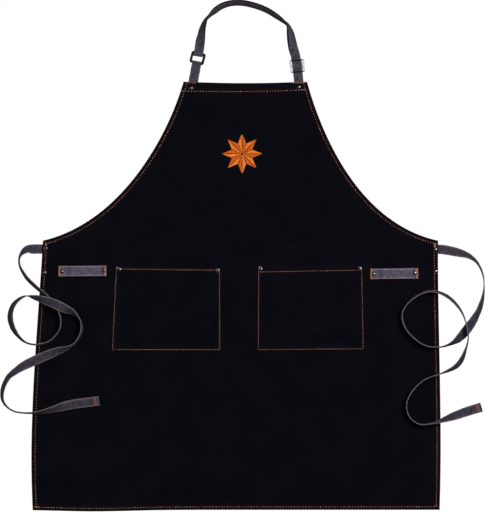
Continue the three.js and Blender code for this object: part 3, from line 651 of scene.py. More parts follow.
def band_node(tree, place, pitch, direction, distortion, detail=2.0):
    inputs = {
        "Vector": place, "Scale": WAVE_SCALE / (pitch * MM), "Distortion": distortion, "Detail": detail,
    }
    settings = {"wave_type": "BANDS", "bands_direction": direction}
    return add_node(tree, "ShaderNodeTexWave", inputs, **settings).outputs["Fac"]


def range_node(tree, value, low, high, from_low=0.0, from_high=1.0):
    inputs = {"Value": value, "From Min": from_low, "From Max": from_high, "To Min": low, "To Max": high}
    return add_node(tree, "ShaderNodeMapRange", inputs).outputs["Result"]


def bump_node(tree, height, strength, distance):
    inputs = {"Strength": strength, "Distance": distance, "Height": height}
    return add_node(tree, "ShaderNodeBump", inputs).outputs["Normal"]


def weave_node(tree, place, pitch, turn):
    """Threads crossing threads: two sets of bands, square to each other."""
    turned = turned_place(tree, place, turn)
    bands = [band_node(tree, turned, pitch, direction, 0.6, 1.0) for direction in ("X", "Y")]
    return math_node(tree, "MULTIPLY", *bands)


def canvas_material():
    material, tree, shader = new_material("black_canvas")
    place = object_place(tree)
    cloudy = ramp(tree, noise_node(tree, place, 16.0, 4.0), [
        (0.3, (0.0016, 0.0018, 0.0032)), (0.5, (0.0029, 0.003, 0.0053)), (0.72, (0.0049, 0.0048, 0.0074)),
    ])
    tint = ramp(tree, noise_node(tree, place, 90.0), [
        (0.36, (0.0014, 0.0032, 0.0036)), (0.5, (0.0024, 0.0026, 0.006)), (0.64, (0.0052, 0.003, 0.0064)),
    ])
    fleck = noise_node(tree, place, 900.0, 2.0)
    colour = mix_colour(tree, 0.5, cloudy, tint)
    colour = mix_colour(tree, math_node(tree, "MULTIPLY", fleck, 0.4), colour, (0.0045, 0.0046, 0.006, 1))
    worn = math_node(tree, "MULTIPLY", point_value(tree, "wear"), noise_node(tree, place, 260.0))
    colour = mix_colour(tree, worn, colour, (0.012, 0.011, 0.013, 1))
    colour = mix_colour(tree, point_value(tree, "seam"), colour, (0.0125, 0.0034, 0.0032, 1))
    height = math_node(tree, "ADD", weave_node(tree, place, 0.75, 45), fleck)
    set_inputs(tree, shader, {
        "Base Color": colour, "Roughness": range_node(tree, fleck, 0.88, 1.0, 0.3, 0.7),
        "Specular IOR Level": 0.02, "Normal": bump_node(tree, height, 0.5, 0.0003),
    })
    return material


def denim_material(name, dark, middle, light, edge):
    """Heathered twill: diagonal bands along the strap, broken by its slubs, and a broad mottle that is partly
    heather and partly painted shade of creases.
    """
    material, tree, shader = new_material(name)
    place = add_node(tree, "ShaderNodeUVMap", {}, uv_map="flat").outputs["UV"]
    twill = band_node(tree, turned_place(tree, place, 58), 1.3, "X", 2.2)
    stretched = {"Vector": place, "Scale": (0.3, 1.0, 1.0)}
    long_place = add_node(tree, "ShaderNodeMapping", stretched).outputs["Vector"]
    slub = noise_node(tree, long_place, 620.0, 4.0)
    heather = math_node(tree, "MULTIPLY", slub, 0.6)
    # The broad mottle, about a centimetre across, is partly heather and partly painted shade of creases
    # across the strap.
    for part, share in ((twill, 0.2), (noise_node(tree, place, 100.0, 2.0), 0.36)):
        heather = math_node(tree, "ADD", heather, math_node(tree, "MULTIPLY", part, share))
    colour = ramp(tree, heather, [(0.43, dark), (0.59, middle), (0.77, light)])
    # Edge colour mixed in by the wear attribute: wear with a painted highlight on the ties, painted shade on
    # the neck strap.
    patchy = math_node(tree, "ADD", noise_node(tree, long_place, 420.0), 0.3)
    worn = math_node(tree, "MULTIPLY", point_value(tree, "wear"), patchy)
    height = math_node(tree, "ADD", twill, slub)
    set_inputs(tree, shader, {
        "Base Color": mix_colour(tree, worn, colour, (*edge, 1)), "Roughness": 0.9,
        "Specular IOR Level": 0.12, "Normal": bump_node(tree, height, 0.6, 0.0004),
    })
    return material


def thread_material(name, dark, light):
    material, tree, shader = new_material(name)
    place = object_place(tree)
    patch = noise_node(tree, place, 220.0, 2.0)
    twist = band_node(tree, place, 0.35, "DIAGONAL", 1.0)
    set_inputs(tree, shader, {
        "Base Color": ramp(tree, patch, [(0.3, dark), (0.7, light)]), "Roughness": 0.55,
        "Specular IOR Level": 0.25, "Normal": bump_node(tree, twist, 0.5, 0.0002),
    })
    return material


def metal_material(name, dark, light, metallic, shine, rough_low, rough_high):
    material, tree, shader = new_material(name)
    place = object_place(tree)
    coat = ramp(tree, noise_node(tree, place, 350.0, 4.0), [(0.35, dark), (0.7, light)])
    # A pale painted reflection, mixed in by the wear attribute; only the slider's side bars carry it
    reflection_colour = ramp(tree, noise_node(tree, place, 600.0), [(0.36, (0.2, 0.17, 0.17)), (0.54, (0.85, 0.83, 0.83))])
    grain = noise_node(tree, place, 2400.0, 2.0)
    set_inputs(tree, shader, {
        "Base Color": mix_colour(tree, point_value(tree, "wear"), coat, reflection_colour),
        "Roughness": range_node(tree, noise_node(tree, place, 900.0), rough_low, rough_high),
        "Metallic": metallic, "Specular IOR Level": shine, "Normal": bump_node(tree, grain, 0.15, 0.0001),
    })
    return material


def floor_material():
    material, tree, shader = new_material("white_floor")
    set_inputs(tree, shader, {
        "Base Color": (0, 0, 0, 1), "Roughness": 1.0, "Specular IOR Level": 0.0,
        "Emission Color": (1, 1, 1, 1), "Emission Strength": FLOOR_GLOW,
    })
    return material


# Camera, lights and floor

def make_camera():
    data = bpy.data.cameras.new("camera")
    data.sensor_width = CAMERA["sensor"]
    data.lens = CAMERA["sensor"] * CAMERA["height"] / CAMERA["view"]
    camera = add_object("camera", data)
    camera.location = Vector((CAMERA["x"], CAMERA["y"], CAMERA["height"])) * MM
    bpy.context.scene.camera = camera


def make_lights():
    for row in LIGHTS:
        data = bpy.data.lights.new(row["name"], "AREA")
        data.shape = "RECTANGLE"
        data.size = row["width"] * MM
        data.size_y = row["length"] * MM
        data.energy = row["power"]
        light = add_object(row["name"], data)
        light.location = Vector((row["x"], row["y"], row["z"])) * MM
        light.rotation_mode = "QUATERNION"
        light.rotation_quaternion = (-light.location).to_track_quat("-Z", "Y")
    world = bpy.data.worlds.new("white_room")
    world.use_nodes = True
    background = world.node_tree.nodes["Background"]
    background.inputs["Color"].default_value = (1, 1, 1, 1)
    background.inputs["Strength"].default_value = WORLD_STRENGTH
    bpy.context.scene.world = world
    bpy.context.scene.view_settings.view_transform = "Standard"


def make_floor():
    half = FLOOR_SIZE / 2
    places = ((-half, -half), (half, -half), (half, half), (-half, half))
    floor = new_piece("floor", [Vector((x, y, FLOOR_LOW)) for x, y in places], [(0, 1, 2, 3)])
    floor.data.materials.append(floor_material())
    floor.visible_diffuse = False
    floor.visible_glossy = False


# Straps

class Strap:
    """A flat strap swept along rows, each a point and the way across the strap there."""

    def __init__(self, rows, width, look, hemmed=False):
        self.half_width = width / 2
        self.hemmed = hemmed
        self.look = STRAP_LOOKS[look]
        points = [point for point, across in rows]
        self.points = []
        acrosses = []
        for index in range(len(rows) - 1):
            span = (points[index + 1] - points[index]).length
            count = max(2, math.ceil(span / STRAP_STEP))
            for step in range(count):
                self.points.append(route_point(points, index + step / count))
                acrosses.append(rows[index][1].lerp(rows[index + 1][1], step / count))
        self.points.append(points[-1].copy())
        acrosses.append(rows[-1][1])
        self.lengths = run_lengths(self.points)
        self.length = self.lengths[-1]
        self.across = []
        self.normal = []
        for index, across in enumerate(acrosses):
            before = self.points[max(index - 1, 0)]
            after = self.points[min(index + 1, len(self.points) - 1)]
            heading = (after - before).normalized()
            level = (across - heading * across.dot(heading)).normalized()
            self.across.append(level)
            self.normal.append(heading.cross(level))

    def place(self, along, across, height):
        """A point at a length along the strap, offset across it and off its middle."""
        point = point_along(self.points, self.lengths, along)
        side = point_along(self.across, self.lengths, along)
        normal = point_along(self.normal, self.lengths, along)
        return point + side * across + normal * (height + normal.z * self.crease(along, across))

    def up(self, along):
        return point_along(self.normal, self.lengths, along)

    def crease(self, along, across):
        """Height of the shallow creases across the strap."""
        place = (along + CREASE["slant"] * across) / CREASE["pitch"]
        spot = Vector((place, across / CREASE["width"], CREASE["seed"] * self.half_width))
        return self.look["crease"] * max(noise.noise(spot), 0.0)

    def thickness(self, along):
        """Half the strap's thickness, more where its end is turned over and sewn."""
        if not self.hemmed:
            return STRAP_BODY / 2
        start = self.length - END_HEM["length"]
        turned = smooth_step(start - END_HEM["step"], start, along)
        return STRAP_BODY / 2 * (1 + END_HEM["rise"] * turned)

    def piece(self, name):
        half = []
        # Each section point's share of the edge colour: wear with a painted highlight on ties, painted shade
        # on the neck strap.
        for across, height in STRAP_SECTION:
            half.append((across, height, 1 - smooth_step(0, self.look["edge"], 1 - across)))
        upper = half + [(-across, height, worn) for across, height, worn in reversed(half[:-1])]
        section = upper + [(across, -height, worn) for across, height, worn in reversed(upper[1:-1])]
        vertices = []
        edge_wear_and_painted_light = []
        flat_places = []
        for index, point in enumerate(self.points):
            thick = self.thickness(self.lengths[index])
            normal = self.normal[index]
            spot = Vector((self.lengths[index] / EDGE_SWAY["pitch"], self.half_width, point.z))
            wider = EDGE_SWAY["reach"] * noise.noise(spot)
            for across, height, worn in section:
                offset = across * (self.half_width + wider)
                lift = height * thick + normal.z * self.crease(self.lengths[index], offset)
                vertices.append(point + self.across[index] * offset + normal * lift)
                edge_wear_and_painted_light.append(worn)
                flat_places.append((self.lengths[index], offset))
        size = len(section)
        faces = tube_faces(0, len(self.points), size) + end_faces(0, len(self.points), size)
        return new_piece(name, vertices, faces, {"wear": edge_wear_and_painted_light}, flat_places)

    def edge_stitches(self, name, material, start, stop, sides=(1,), radius=STRAP_THREAD_RADIUS):
        """A piece with the stitches along both edges, on the chosen faces."""
        threads = Threads()
        pitch = STRAP_STITCH["pitch"]
        across = STRAP_STITCH["across"] * self.half_width
        for index in range(int((stop - start) / pitch)):
            middle = start + (index + 0.5) * pitch
            half = pitch * STRAP_STITCH["half"] * chance.uniform(*STRAP_STITCH["uneven"])
            for edge in (1, -1):
                for side in sides:
                    height = side * (STRAP_STITCH["seat"] * STRAP_BODY / 2)
                    turn = sway(STITCH_SWAY)
                    from_end = self.place(middle - half, edge * across + turn, height)
                    to_end = self.place(middle + half, edge * across - turn, height)
                    threads.add(from_end, to_end, self.up(middle) * side, radius)
        return threads.piece(name + "_edge_stitches", material, "denim")

    def cross_stitches(self, threads, along):
        """A row of stitches across the strap, on the face that is up."""
        pitch = END_STITCH["pitch"]
        half = END_STITCH["half"] * pitch
        count = int(2 * STRAP_STITCH["across"] * self.half_width / pitch)
        side = math.copysign(1, self.up(along).z)
        height = side * END_STITCH["seat"] * self.thickness(along)
        for index in range(count):
            middle = (index + 0.5 - count / 2) * pitch
            start = self.place(along + sway(END_STITCH["sway"]), middle - half, height)
            end = self.place(along + sway(END_STITCH["sway"]), middle + half, height)
            threads.add(start, end, self.up(along) * side, THREAD_RADIUS)

    def end_band(self, threads, along, width):
        """Close stitches lengthways over the strap's end, from edge to edge."""
        pitch = BAND["pitch"]
        lean = BAND["lean"] * pitch
        height = BAND["seat"] * STRAP_BODY / 2
        count = int(2 * self.half_width / pitch)
        for index in range(count):
            across = (index + 0.5 - count / 2) * pitch
            reach = width / 2 * chance.uniform(*BAND["uneven"])
            start = self.place(along - reach, across - lean, height)
            end = self.place(along + reach, across + lean, height)
            threads.add(start, end, self.up(along), BAND["radius"], BAND["crown"])


def route_rows(route):
    """Each row's middle, across and normal, from its heading, roll, lift and half its thickness."""
    rows = []
    for index, (x, y, roll, lift, half_thick) in enumerate(route):
        before = route[max(index - 1, 0)]
        after = route[min(index + 1, len(route) - 1)]
        heading = Vector((after[0] - before[0], after[1] - before[1], 0)).normalized()
        angle = math.radians(roll)
        side = Vector((-heading.y, heading.x, 0))
        across = side * math.cos(angle) + UP * math.sin(angle)
        normal = UP * math.cos(angle) - side * math.sin(angle)
        half = STRAP_WIDTH / 2 * abs(math.sin(angle)) + half_thick * abs(math.cos(angle))
        rows.append((Vector((x, y, lift + half)), across, normal))
    return rows


def dense_route(route):
    plan = [Vector((row[0], row[1], 0)) for row in route]
    rolls = [row[2] for row in route]
    lifts = [row[3] for row in route]
    dense = []
    for step in range((len(route) - 1) * ROUTE_STEPS + 1):
        place = step / ROUTE_STEPS
        point = route_point(plan, place)
        lift = max(smooth_value(lifts, place), 0.0)
        dense.append((point.x, point.y, smooth_value(rolls, place), lift, STRAP_THICK / 2))
    return dense


def make_tie(tie, denim, edge_thread, end_threads):
    name = tie["name"]
    rows = route_rows(dense_route(tie["route"]))
    strap = Strap([(point, across) for point, across, normal in rows], STRAP_WIDTH, "tie", True)
    piece = finish_piece(strap.piece(name + "_strap"), denim, "denim", name)
    sewn = [strap.edge_stitches(name, edge_thread, TUCK, strap.length - TIE_STITCH_END, (1, -1))]
    for thread, insets in END_ROWS.items():
        ends = Threads()
        for inset in insets:
            strap.cross_stitches(ends, strap.length - inset)
        sewn.append(ends.piece(f"{name}_{thread}_end_stitches", end_threads[thread], "denim"))


def make_loop(loop, denim, edge_thread, band_thread):
    start = Vector((*loop["start"], 0))
    end = Vector((*loop["end"], 0))
    heading = (end - start).normalized()
    across = Vector((-heading.y, heading.x, 0))
    seat = CLOTH + GAP + STRAP_THICK / 2
    far_half = [(1 - along, rise) for along, rise in reversed(LOOP_HALF)]
    rows = []
    for along, rise in LOOP_HALF + [LOOP_MIDDLE] + far_half:
        point = start.lerp(end, along)
        point.z = seat + LOOP_SLACK * rise
        rows.append((point, across))
    strap = Strap(rows, LOOP_WIDTH, "loop")
    name = loop["name"]
    finish_piece(strap.piece(name + "_strap"), denim, "denim", name)
    stop = strap.length - LOOP_STITCH_INSET
    strap.edge_stitches(name, edge_thread, LOOP_STITCH_INSET, stop, radius=LOOP_THREAD_RADIUS)
    bands = Threads()
    for along in (LOOP_BAND["inset"], strap.length - LOOP_BAND["inset"]):
        strap.end_band(bands, along, LOOP_BAND["width"])
    bands.piece(name + "_end_bands", band_thread, "denim")


# Neck strap, its ring and its slider

RING_UP = lean_direction(RING["lean"])
SLIDER_UP = lean_direction(SLIDER["lean"])
SLIDER_ABOVE = lean_direction(SLIDER["above"])
RING_TO_BIB = (BIB_TOP - RING["y"]) / RING_UP.y
SLIDER_TO_BIB = (BIB_TOP - SLIDER["y"]) / SLIDER_UP.y


def fitting_rows(fitting, up, across_side, places):
    """Rows beside a fitting: places along its strap from the fitting's middle, at given heights."""
    across = Vector((-up.y, up.x, 0)) * across_side
    rows = []
    for along, height in places:
        rows.append((Vector((fitting["x"] + along * up.x, fitting["y"] + along * up.y, height)), across))
    return rows


def fold_places(bar_inner, towards):
    """A half turn round a ring's bar, from the lower layer to the upper one."""
    middle = RING_LOW + RING["thick"] / 2
    places = []
    for degrees in range(-90, 91, FOLD_DEGREES):
        angle = math.radians(degrees)
        along = bar_inner + towards * FOLD_RADIUS * math.cos(angle)
        places.append((along, middle + FOLD_RADIUS * math.sin(angle)))
    return places


def neck_strap():
    """The strap from its sewn end at the slider, under to the ring, back over and through to the bib."""
    doubled = route_rows([(x, y, roll, 0, STRAP_THICK + gap / 2) for x, y, roll, gap, lean in NECK_ROUTE])
    lower = []
    upper = []
    for (point, across, normal), (x, y, roll, gap, lean) in zip(doubled, NECK_ROUTE):
        level = across * math.cos(math.radians(lean))
        tip = normal * math.sin(math.radians(lean))
        offset = normal * ((STRAP_THICK + gap) / 2)
        lower.append((point - offset - tip * (STRAP_WIDTH / 2), level - tip))
        upper.append((point + offset, across))
    slot_middle = (HIGH_LAYER + SLIDER_HUMP) / 2
    sewn_end = fitting_rows(SLIDER, SLIDER_UP, -1, [(4, LOW_LAYER)])
    sewn_end += fitting_rows(SLIDER, SLIDER_ABOVE, -1, [(13, LOW_LAYER), (22, LOW_LAYER + 0.3)])
    ring_low = fitting_rows(RING, RING_UP, 1, [(17, LOW_LAYER + 0.4), (RING_BAR_INNER + 2, LOW_LAYER)])
    ring_fold = fitting_rows(RING, RING_UP, 1, fold_places(RING_FOLDS["strap"], -1))
    ring_high = fitting_rows(RING, RING_UP, 1, [
        (RING_BAR_INNER + 2, FOLD_TOP), (RING_BAR_INNER + 5, FOLD_TOP - 0.3), (17, FOLD_TOP - 1.6),
    ])
    above = fitting_rows(SLIDER, SLIDER_ABOVE, -1, [(22, HIGH_LAYER + 1.2), (13, HIGH_LAYER)])
    weave = fitting_rows(SLIDER, SLIDER_UP, -1, [
        (9.8, HIGH_LAYER + 0.1), (5.6, slot_middle),
        (2, SLIDER_HUMP - 0.2), (0, SLIDER_HUMP), (-2, SLIDER_HUMP - 0.2), (-5.6, slot_middle),
        (-9.8, HIGH_LAYER + 0.1), (-13, HIGH_LAYER - 0.2), (SLIDER_TO_BIB + 10, LOW_LAYER + 0.9),
        (SLIDER_TO_BIB + 2, LOW_LAYER), (SLIDER_TO_BIB - TUCK / 2, LOW_LAYER),
        (SLIDER_TO_BIB - TUCK, LOW_LAYER),
    ])
    rows = sewn_end + lower[::-1] + ring_low + ring_fold + ring_high + upper + above + weave
    return Strap(rows, STRAP_WIDTH, "neck")


def neck_tab():
    back = RING_TO_BIB + TAB_LAP
    places = [(back, LOW_LAYER), (-RING_BAR_INNER - 2, LOW_LAYER)]
    places += fold_places(RING_FOLDS["tab"], 1)
    places += [
        (-RING_BAR_INNER - 2, FOLD_TOP), (-RING_BAR_INNER - 5, FOLD_TOP - 0.3), (-18, FOLD_TOP - 1.7),
        (back - 2, HIGH_LAYER + 0.2), (RING_TO_BIB + 12, LOW_LAYER + 1), (RING_TO_BIB + 3, LOW_LAYER),
        (RING_TO_BIB - TUCK / 2, LOW_LAYER), (RING_TO_BIB - TUCK, LOW_LAYER),
    ]
    return Strap(fitting_rows(RING, RING_UP, -1, places), STRAP_WIDTH, "neck")


def make_neck(denim, edge_thread):
    for name, strap in (("neck_strap", neck_strap()), ("neck_tab", neck_tab())):
        finish_piece(strap.piece(name + "_webbing"), denim, "denim", name)
        strap.edge_stitches(name, edge_thread, NECK_STITCH_START, strap.length - TUCK)


def rounded_loop(width, height, radius):
    """Points and outward directions round a rectangle with round corners."""
    loop = []
    for corner, (x, y) in enumerate(((1, 1), (-1, 1), (-1, -1), (1, -1))):
        for step in range(CORNER_STEPS + 1):
            angle = math.pi / 2 * (corner + step / CORNER_STEPS)
            out = Vector((math.cos(angle), math.sin(angle), 0))
            middle = Vector((x * (width / 2 - radius), y * (height / 2 - radius), 0))
            loop.append((middle + out * radius, out))
    return loop


def swept_bar(path, half_high, closed, vertices, faces, worn):
    """A bar with a rounded section along points that have an outward direction and half a width each."""
    base = len(vertices)
    for point, out, half_wide in path:
        # Share of painted reflection: full on the side bars, none on the end bars
        worn += [smooth_step(*BAR_REFLECTION_SPAN, abs(out.x))] * BAR_SIDES
        for step in range(BAR_SIDES):
            angle = 2 * math.pi * step / BAR_SIDES
            wide = math.copysign(abs(math.cos(angle)) ** BAR_ROUNDNESS, math.cos(angle)) * half_wide
            high = math.copysign(abs(math.sin(angle)) ** BAR_ROUNDNESS, math.sin(angle)) * half_high
            vertices.append(point + out * wide + UP * high)
    faces += tube_faces(base, len(path), BAR_SIDES, closed)
    if not closed:
        faces += end_faces(base, len(path), BAR_SIDES)


def make_fitting(name, fitting, low, middle_bar, material):
    vertices = []
    faces = []
    worn = []
    side_bar = fitting["side_bar"]
    end_bar = fitting["end_bar"]
    loop = rounded_loop(fitting["across"] - side_bar, fitting["along"] - end_bar, fitting["corner"])
    path = [(point, out, side_bar / 2 * abs(out.x) + end_bar / 2 * abs(out.y)) for point, out in loop]
    swept_bar(path, fitting["thick"] / 2, True, vertices, faces, worn)
    if middle_bar:
        reach = fitting["across"] / 2 - side_bar / 2
        along = Vector((0, 1, 0))
        steps = MIDDLE_BAR["steps"]
        places = [Vector((reach * step / steps, 0, 0)) for step in range(-steps, steps + 1)]
        path = [(place, along, end_bar / 2) for place in places]
        swept_bar(path, fitting["thick"] / 2 * MIDDLE_BAR["thick"], False, vertices, faces, worn)
    turn = math.radians(fitting["turn"])
    across = Vector((math.cos(turn), math.sin(turn), 0))
    along = Vector((-math.sin(turn), math.cos(turn), 0))
    middle = Vector((fitting["x"], fitting["y"], low + fitting["thick"] / 2))
    placed = [middle + across * v.x + along * v.y + UP * v.z for v in vertices]
    # The slider's side bars get a pale painted reflection; the ring gets none
    painted_reflection = [fitting["painted_reflection"] * part for part in worn]
    finish_piece(new_piece(name + "_bar", placed, faces, {"wear": painted_reflection}), material, "black_metal", name)


# Rivets

def make_rivet(name, material):
    low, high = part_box(name)
    middle = (Vector(low) + Vector(high)) / (2 * MM)
    top = high[2] / MM
    foot = low[2] / MM
    seat = top - CAP_HEIGHT
    profile = [(radius, seat + height) for radius, height in CAP_PROFILE]
    profile += [(SHANK_RADIUS, seat), (SHANK_RADIUS, foot)]
    vertices = [Vector((middle.x, middle.y, top))]
    for radius, height in profile:
        for step in range(RIVET_SIDES):
            turn = 2 * math.pi * step / RIVET_SIDES
            x = middle.x + radius * math.cos(turn)
            y = middle.y + radius * math.sin(turn)
            vertices.append(Vector((x, y, height)))
    faces = [(0, 1 + step, 1 + (step + 1) % RIVET_SIDES) for step in range(RIVET_SIDES)]
    faces += tube_faces(1, len(profile), RIVET_SIDES)
    faces.append(end_faces(1, len(profile), RIVET_SIDES)[1])
    finish_piece(new_piece(name + "_cap", vertices, faces), material, "dark_steel", name)


# Panel

def tuck_line(x, y, direction, lifted):
    return {"start": (x, y), "end": (x - TUCK * direction.x, y - TUCK * direction.y), **lifted}


TUCKS = [
    tuck_line(RING["x"] + RING_TO_BIB * RING_UP.x, BIB_TOP, RING_UP, BIB_TUCK),
    tuck_line(SLIDER["x"] + SLIDER_TO_BIB * SLIDER_UP.x, BIB_TOP, SLIDER_UP, BIB_TUCK),
    tuck_line(EDGES["left"]["side"][0][0], TIE_LEFT_ROUTE[0][1], Vector((-1, 0)), TIE_TUCK),
    tuck_line(EDGES["right"]["side"][0][0], TIE_RIGHT_ROUTE[0][1], Vector((1, 0)), TIE_TUCK),
]


def ripple(x, y):
    """Small unevenness of cloth lying loose, less where straps, pockets and rivets are on it."""
    bib = smooth_step(*RIPPLE_BIB["start"], y) * (1 - smooth_step(*RIPPLE_BIB["stop"], y))
    skirt = (1 - smooth_step(*RIPPLE_SKIRT["start"], y)) * (1 - smooth_step(*RIPPLE_SKIRT["side"], abs(x)))
    amount = RIPPLE["all"] + RIPPLE["bib"] * bib + RIPPLE["skirt"] * skirt
    height = RIPPLE["base"]
    for wave in RIPPLE_WAVES:
        height += wave_height(wave, x, y)
    return amount * max(height, 0.0)


def panel_under(x, y):
    """Height of the panel's underside: over the tucked straps and the low folds, else on the floor."""
    height = 0.0
    for tuck in TUCKS:
        distance = distance_to_line(x, y, tuck["start"], tuck["end"])
        height = max(height, TUCK_LIFT * (1 - smooth_step(tuck["flat"], tuck["fade"], distance)))
    for fold in FOLDS:
        distance = distance_to_line(x, y, fold["start"], fold["end"])
        height = max(height, fold["height"] * (1 - smooth_step(0, 2 * fold["reach"], distance)))
    return height + ripple(x, y)


def station(curve, along):
    """A row's place down the panel's edges, with its distances from the bib's top, hem and armpit."""
    if curve == "armhole":
        top, bottom, corner = along * BIB_RATE, FAR, (1 - along) * ARMPIT_RATE
    else:
        top, bottom, corner = FAR, (1 - along) * SIDE_LENGTH, along * SIDE_LENGTH
    return {"curve": curve, "along": along, "top": top, "bottom": bottom, "corner": corner}


def panel_stations():
    rows = [station("armhole", depth / BIB_RATE) for depth in BIB_ROWS]
    first = BIB_ROWS[-1] / BIB_RATE
    for step in range(1, ARMHOLE_STEPS + 1):
        rows.append(station("armhole", first + (1 - first) * step / ARMHOLE_STEPS))
    last = SIDE_LENGTH - HEM_ROWS[0]
    for step in range(1, SIDE_STEPS):
        rows.append(station("side", last * step / SIDE_STEPS / SIDE_LENGTH))
    rows += [station("side", 1 - depth / SIDE_LENGTH) for depth in HEM_ROWS]
    return rows


def square_in(corners, along, inward):
    tangent = bezier_tangent(corners, along)
    return Vector((-tangent.y, tangent.x)) * inward


def edge_place(side, row):
    """One place on an edge and the way in from it: level on the sides and at the bib's top, square to
    the armhole's curve lower down, and turning to the mitre at the armpit's corner."""
    edge = EDGES[side]
    corners = edge[row["curve"]]
    level = Vector((edge["inward"], 0.0))
    square = square_in(edge["armhole"], 1.0, edge["inward"])
    mitre = (square + level) / (1 + square.dot(level))
    own = level
    if row["curve"] == "armhole":
        normal = square_in(corners, row["along"], edge["inward"])
        own = (level / normal.dot(level)).lerp(normal, smooth_step(0, SQUARE_FROM, row["along"]))
    inset = mitre.lerp(own, smooth_step(0, MITRE_REACH, row["corner"]))
    return bezier_point(corners, row["along"]), inset


def row_edges(row):
    return *edge_place("left", row), *edge_place("right", row)


def edge_sag(x, y, across):
    bib = -BIB_DIP * math.sin(math.pi * across) * smooth_step(BIB_TOP - BIB_DIP_FADE, BIB_TOP, y)
    spread = (x - HEM_DIP["middle"]) / HEM_DIP["reach"]
    hem = -HEM_DIP["depth"] * math.exp(-spread * spread) * (1 - smooth_step(HEM, HEM + HEM_DIP["fade"], y))
    return bib + hem


def fold_rise(distance, width):
    return 1 - smooth_step(width, width + FOLD_STEP, distance)


def seam_dent(distance):
    return SEAM_DENT * math.exp(-(distance / SEAM_HALF) ** 2)


def seam_stain(*distances):
    return max(math.exp(-(distance / SEAM_STAIN) ** 2) for distance in distances)


def round_edge(distance):
    """Half-thickness share near a folded edge, from a narrow wall up to the full cloth."""
    part = min(distance / EDGE_ROUND, 1.0)
    return EDGE_LEAST + (1 - EDGE_LEAST) * math.sqrt(1 - (1 - part) ** 2)


def cloth_place(point, under, thick, nearest, seams, wear):
    """One place of a cloth wall, round at its edge, with the dents and lint of the seams by it."""
    full = round_edge(nearest)
    over = under + thick * (1 + full) / 2 - sum(seam_dent(distance) for distance in seams)
    return point.x, point.y, under + thick * (1 - full) / 2, over, wear, seam_stain(*seams)


def sagged(point, left, right):
    across = (point.x - left.x) / (right.x - left.x)
    return Vector((point.x, point.y + edge_sag(point.x, point.y, across)))


def panel_vertex(point, depth, row):
    top = row["top"]
    bottom = row["bottom"]
    rise = max(fold_rise(depth, HEM_WIDTH), fold_rise(top, BIB_FOLD), fold_rise(bottom, HEM_WIDTH))
    nearest = min(depth, top, bottom)
    slant = point.y - abs(point.x) + ROPE["slant"] * nearest
    rope = ROPE["height"] * rise * math.sin(slant * 2 * math.pi / ROPE["pitch"])
    thick = CLOTH + HEM_RISE * rise + rope
    worn = PANEL_WEAR["edge"] * (1 - smooth_step(0, PANEL_WEAR["reach"], nearest))
    seams = (depth - EDGE_SEAM, top - BIB_SEAM, bottom - HEM_SEAM)
    under = panel_under(point.x, point.y)
    return cloth_place(point, under, thick, nearest, seams, worn + PANEL_WEAR["hem"] * rise)


def panel_row(row):
    left, left_in, right, right_in = row_edges(row)
    places = [(left + left_in * depth, depth) for depth in EDGE_COLUMNS]
    far_side = [(right + right_in * depth, depth) for depth in reversed(EDGE_COLUMNS)]
    first = places[-1][0]
    last = far_side[0][0]
    for column in range(1, MIDDLE_COLUMNS):
        places.append((first.lerp(last, column / MIDDLE_COLUMNS), FAR))
    places += far_side
    return [panel_vertex(sagged(point, left, right), depth, row) for point, depth in places]


def on_hem(point):
    top = panel_under(point.x, point.y) + CLOTH + HEM_RISE
    return Vector((point.x, point.y, top - STITCH_SINK * SEAM_DENT))


def edge_seam(side):
    """The stitch line down one armhole and side."""
    count = SEAM_STEPS["armhole"]
    rows = [station("armhole", SEAM_ENDS + (1 - SEAM_ENDS) * step / count) for step in range(count)]
    count = SEAM_STEPS["side"]
    rows += [station("side", SIDE_SEAM_STOP * step / count) for step in range(count + 1)]
    points = []
    for row in rows:
        left, left_in, right, right_in = row_edges(row)
        point, inset = (left, left_in) if side == "left" else (right, right_in)
        points.append(on_hem(sagged(point + inset * EDGE_SEAM, left, right)))
    return points


def level_seam(row):
    """A stitch line from side to side."""
    left, left_in, right, right_in = row_edges(row)
    count = SEAM_STEPS["level"]
    points = []
    for step in range(count + 1):
        point = left.lerp(right, SEAM_ENDS + (1 - 2 * SEAM_ENDS) * step / count)
        points.append(on_hem(sagged(point, left, right)))
    return points


def make_panel(canvas, threads_by_name):
    grid = [panel_row(row) for row in panel_stations()]
    panel = finish_piece(cloth_piece("panel_cloth", grid), canvas, "canvas", "apron_panel")
    seams = {name: Threads() for name in threads_by_name}
    for side in EDGES:
        seams["rose"].run(edge_seam(side), EDGE_PITCH, EDGE_THREAD_RADIUS)
    seams["rose"].run(level_seam(station("armhole", BIB_SEAM / BIB_RATE)))
    seams["rose"].run(level_seam(station("side", 1 - HEM_SEAM / SIDE_LENGTH)))
    for ends in SHORT_SEAMS:
        seams["tan"].run([on_hem(Vector(end)) for end in ends], SHORT_PITCH)
    for x, y, length, width, turn, thread in BAR_TACKS:
        seams[thread].bar(on_hem(Vector((x, y))), length, width, math.radians(turn))
    for name, material in threads_by_name.items():
        seams[name].piece(f"panel_{name}_stitches", material, "canvas")


# Pockets

def grid_lines(length, near_start, near_end, step):
    first = near_start[-1]
    last = length - near_end[-1]
    count = round((last - first) / step)
    middle = [first + (last - first) * index / count for index in range(1, count)]
    return near_start + middle + [length - inset for inset in reversed(near_end)]


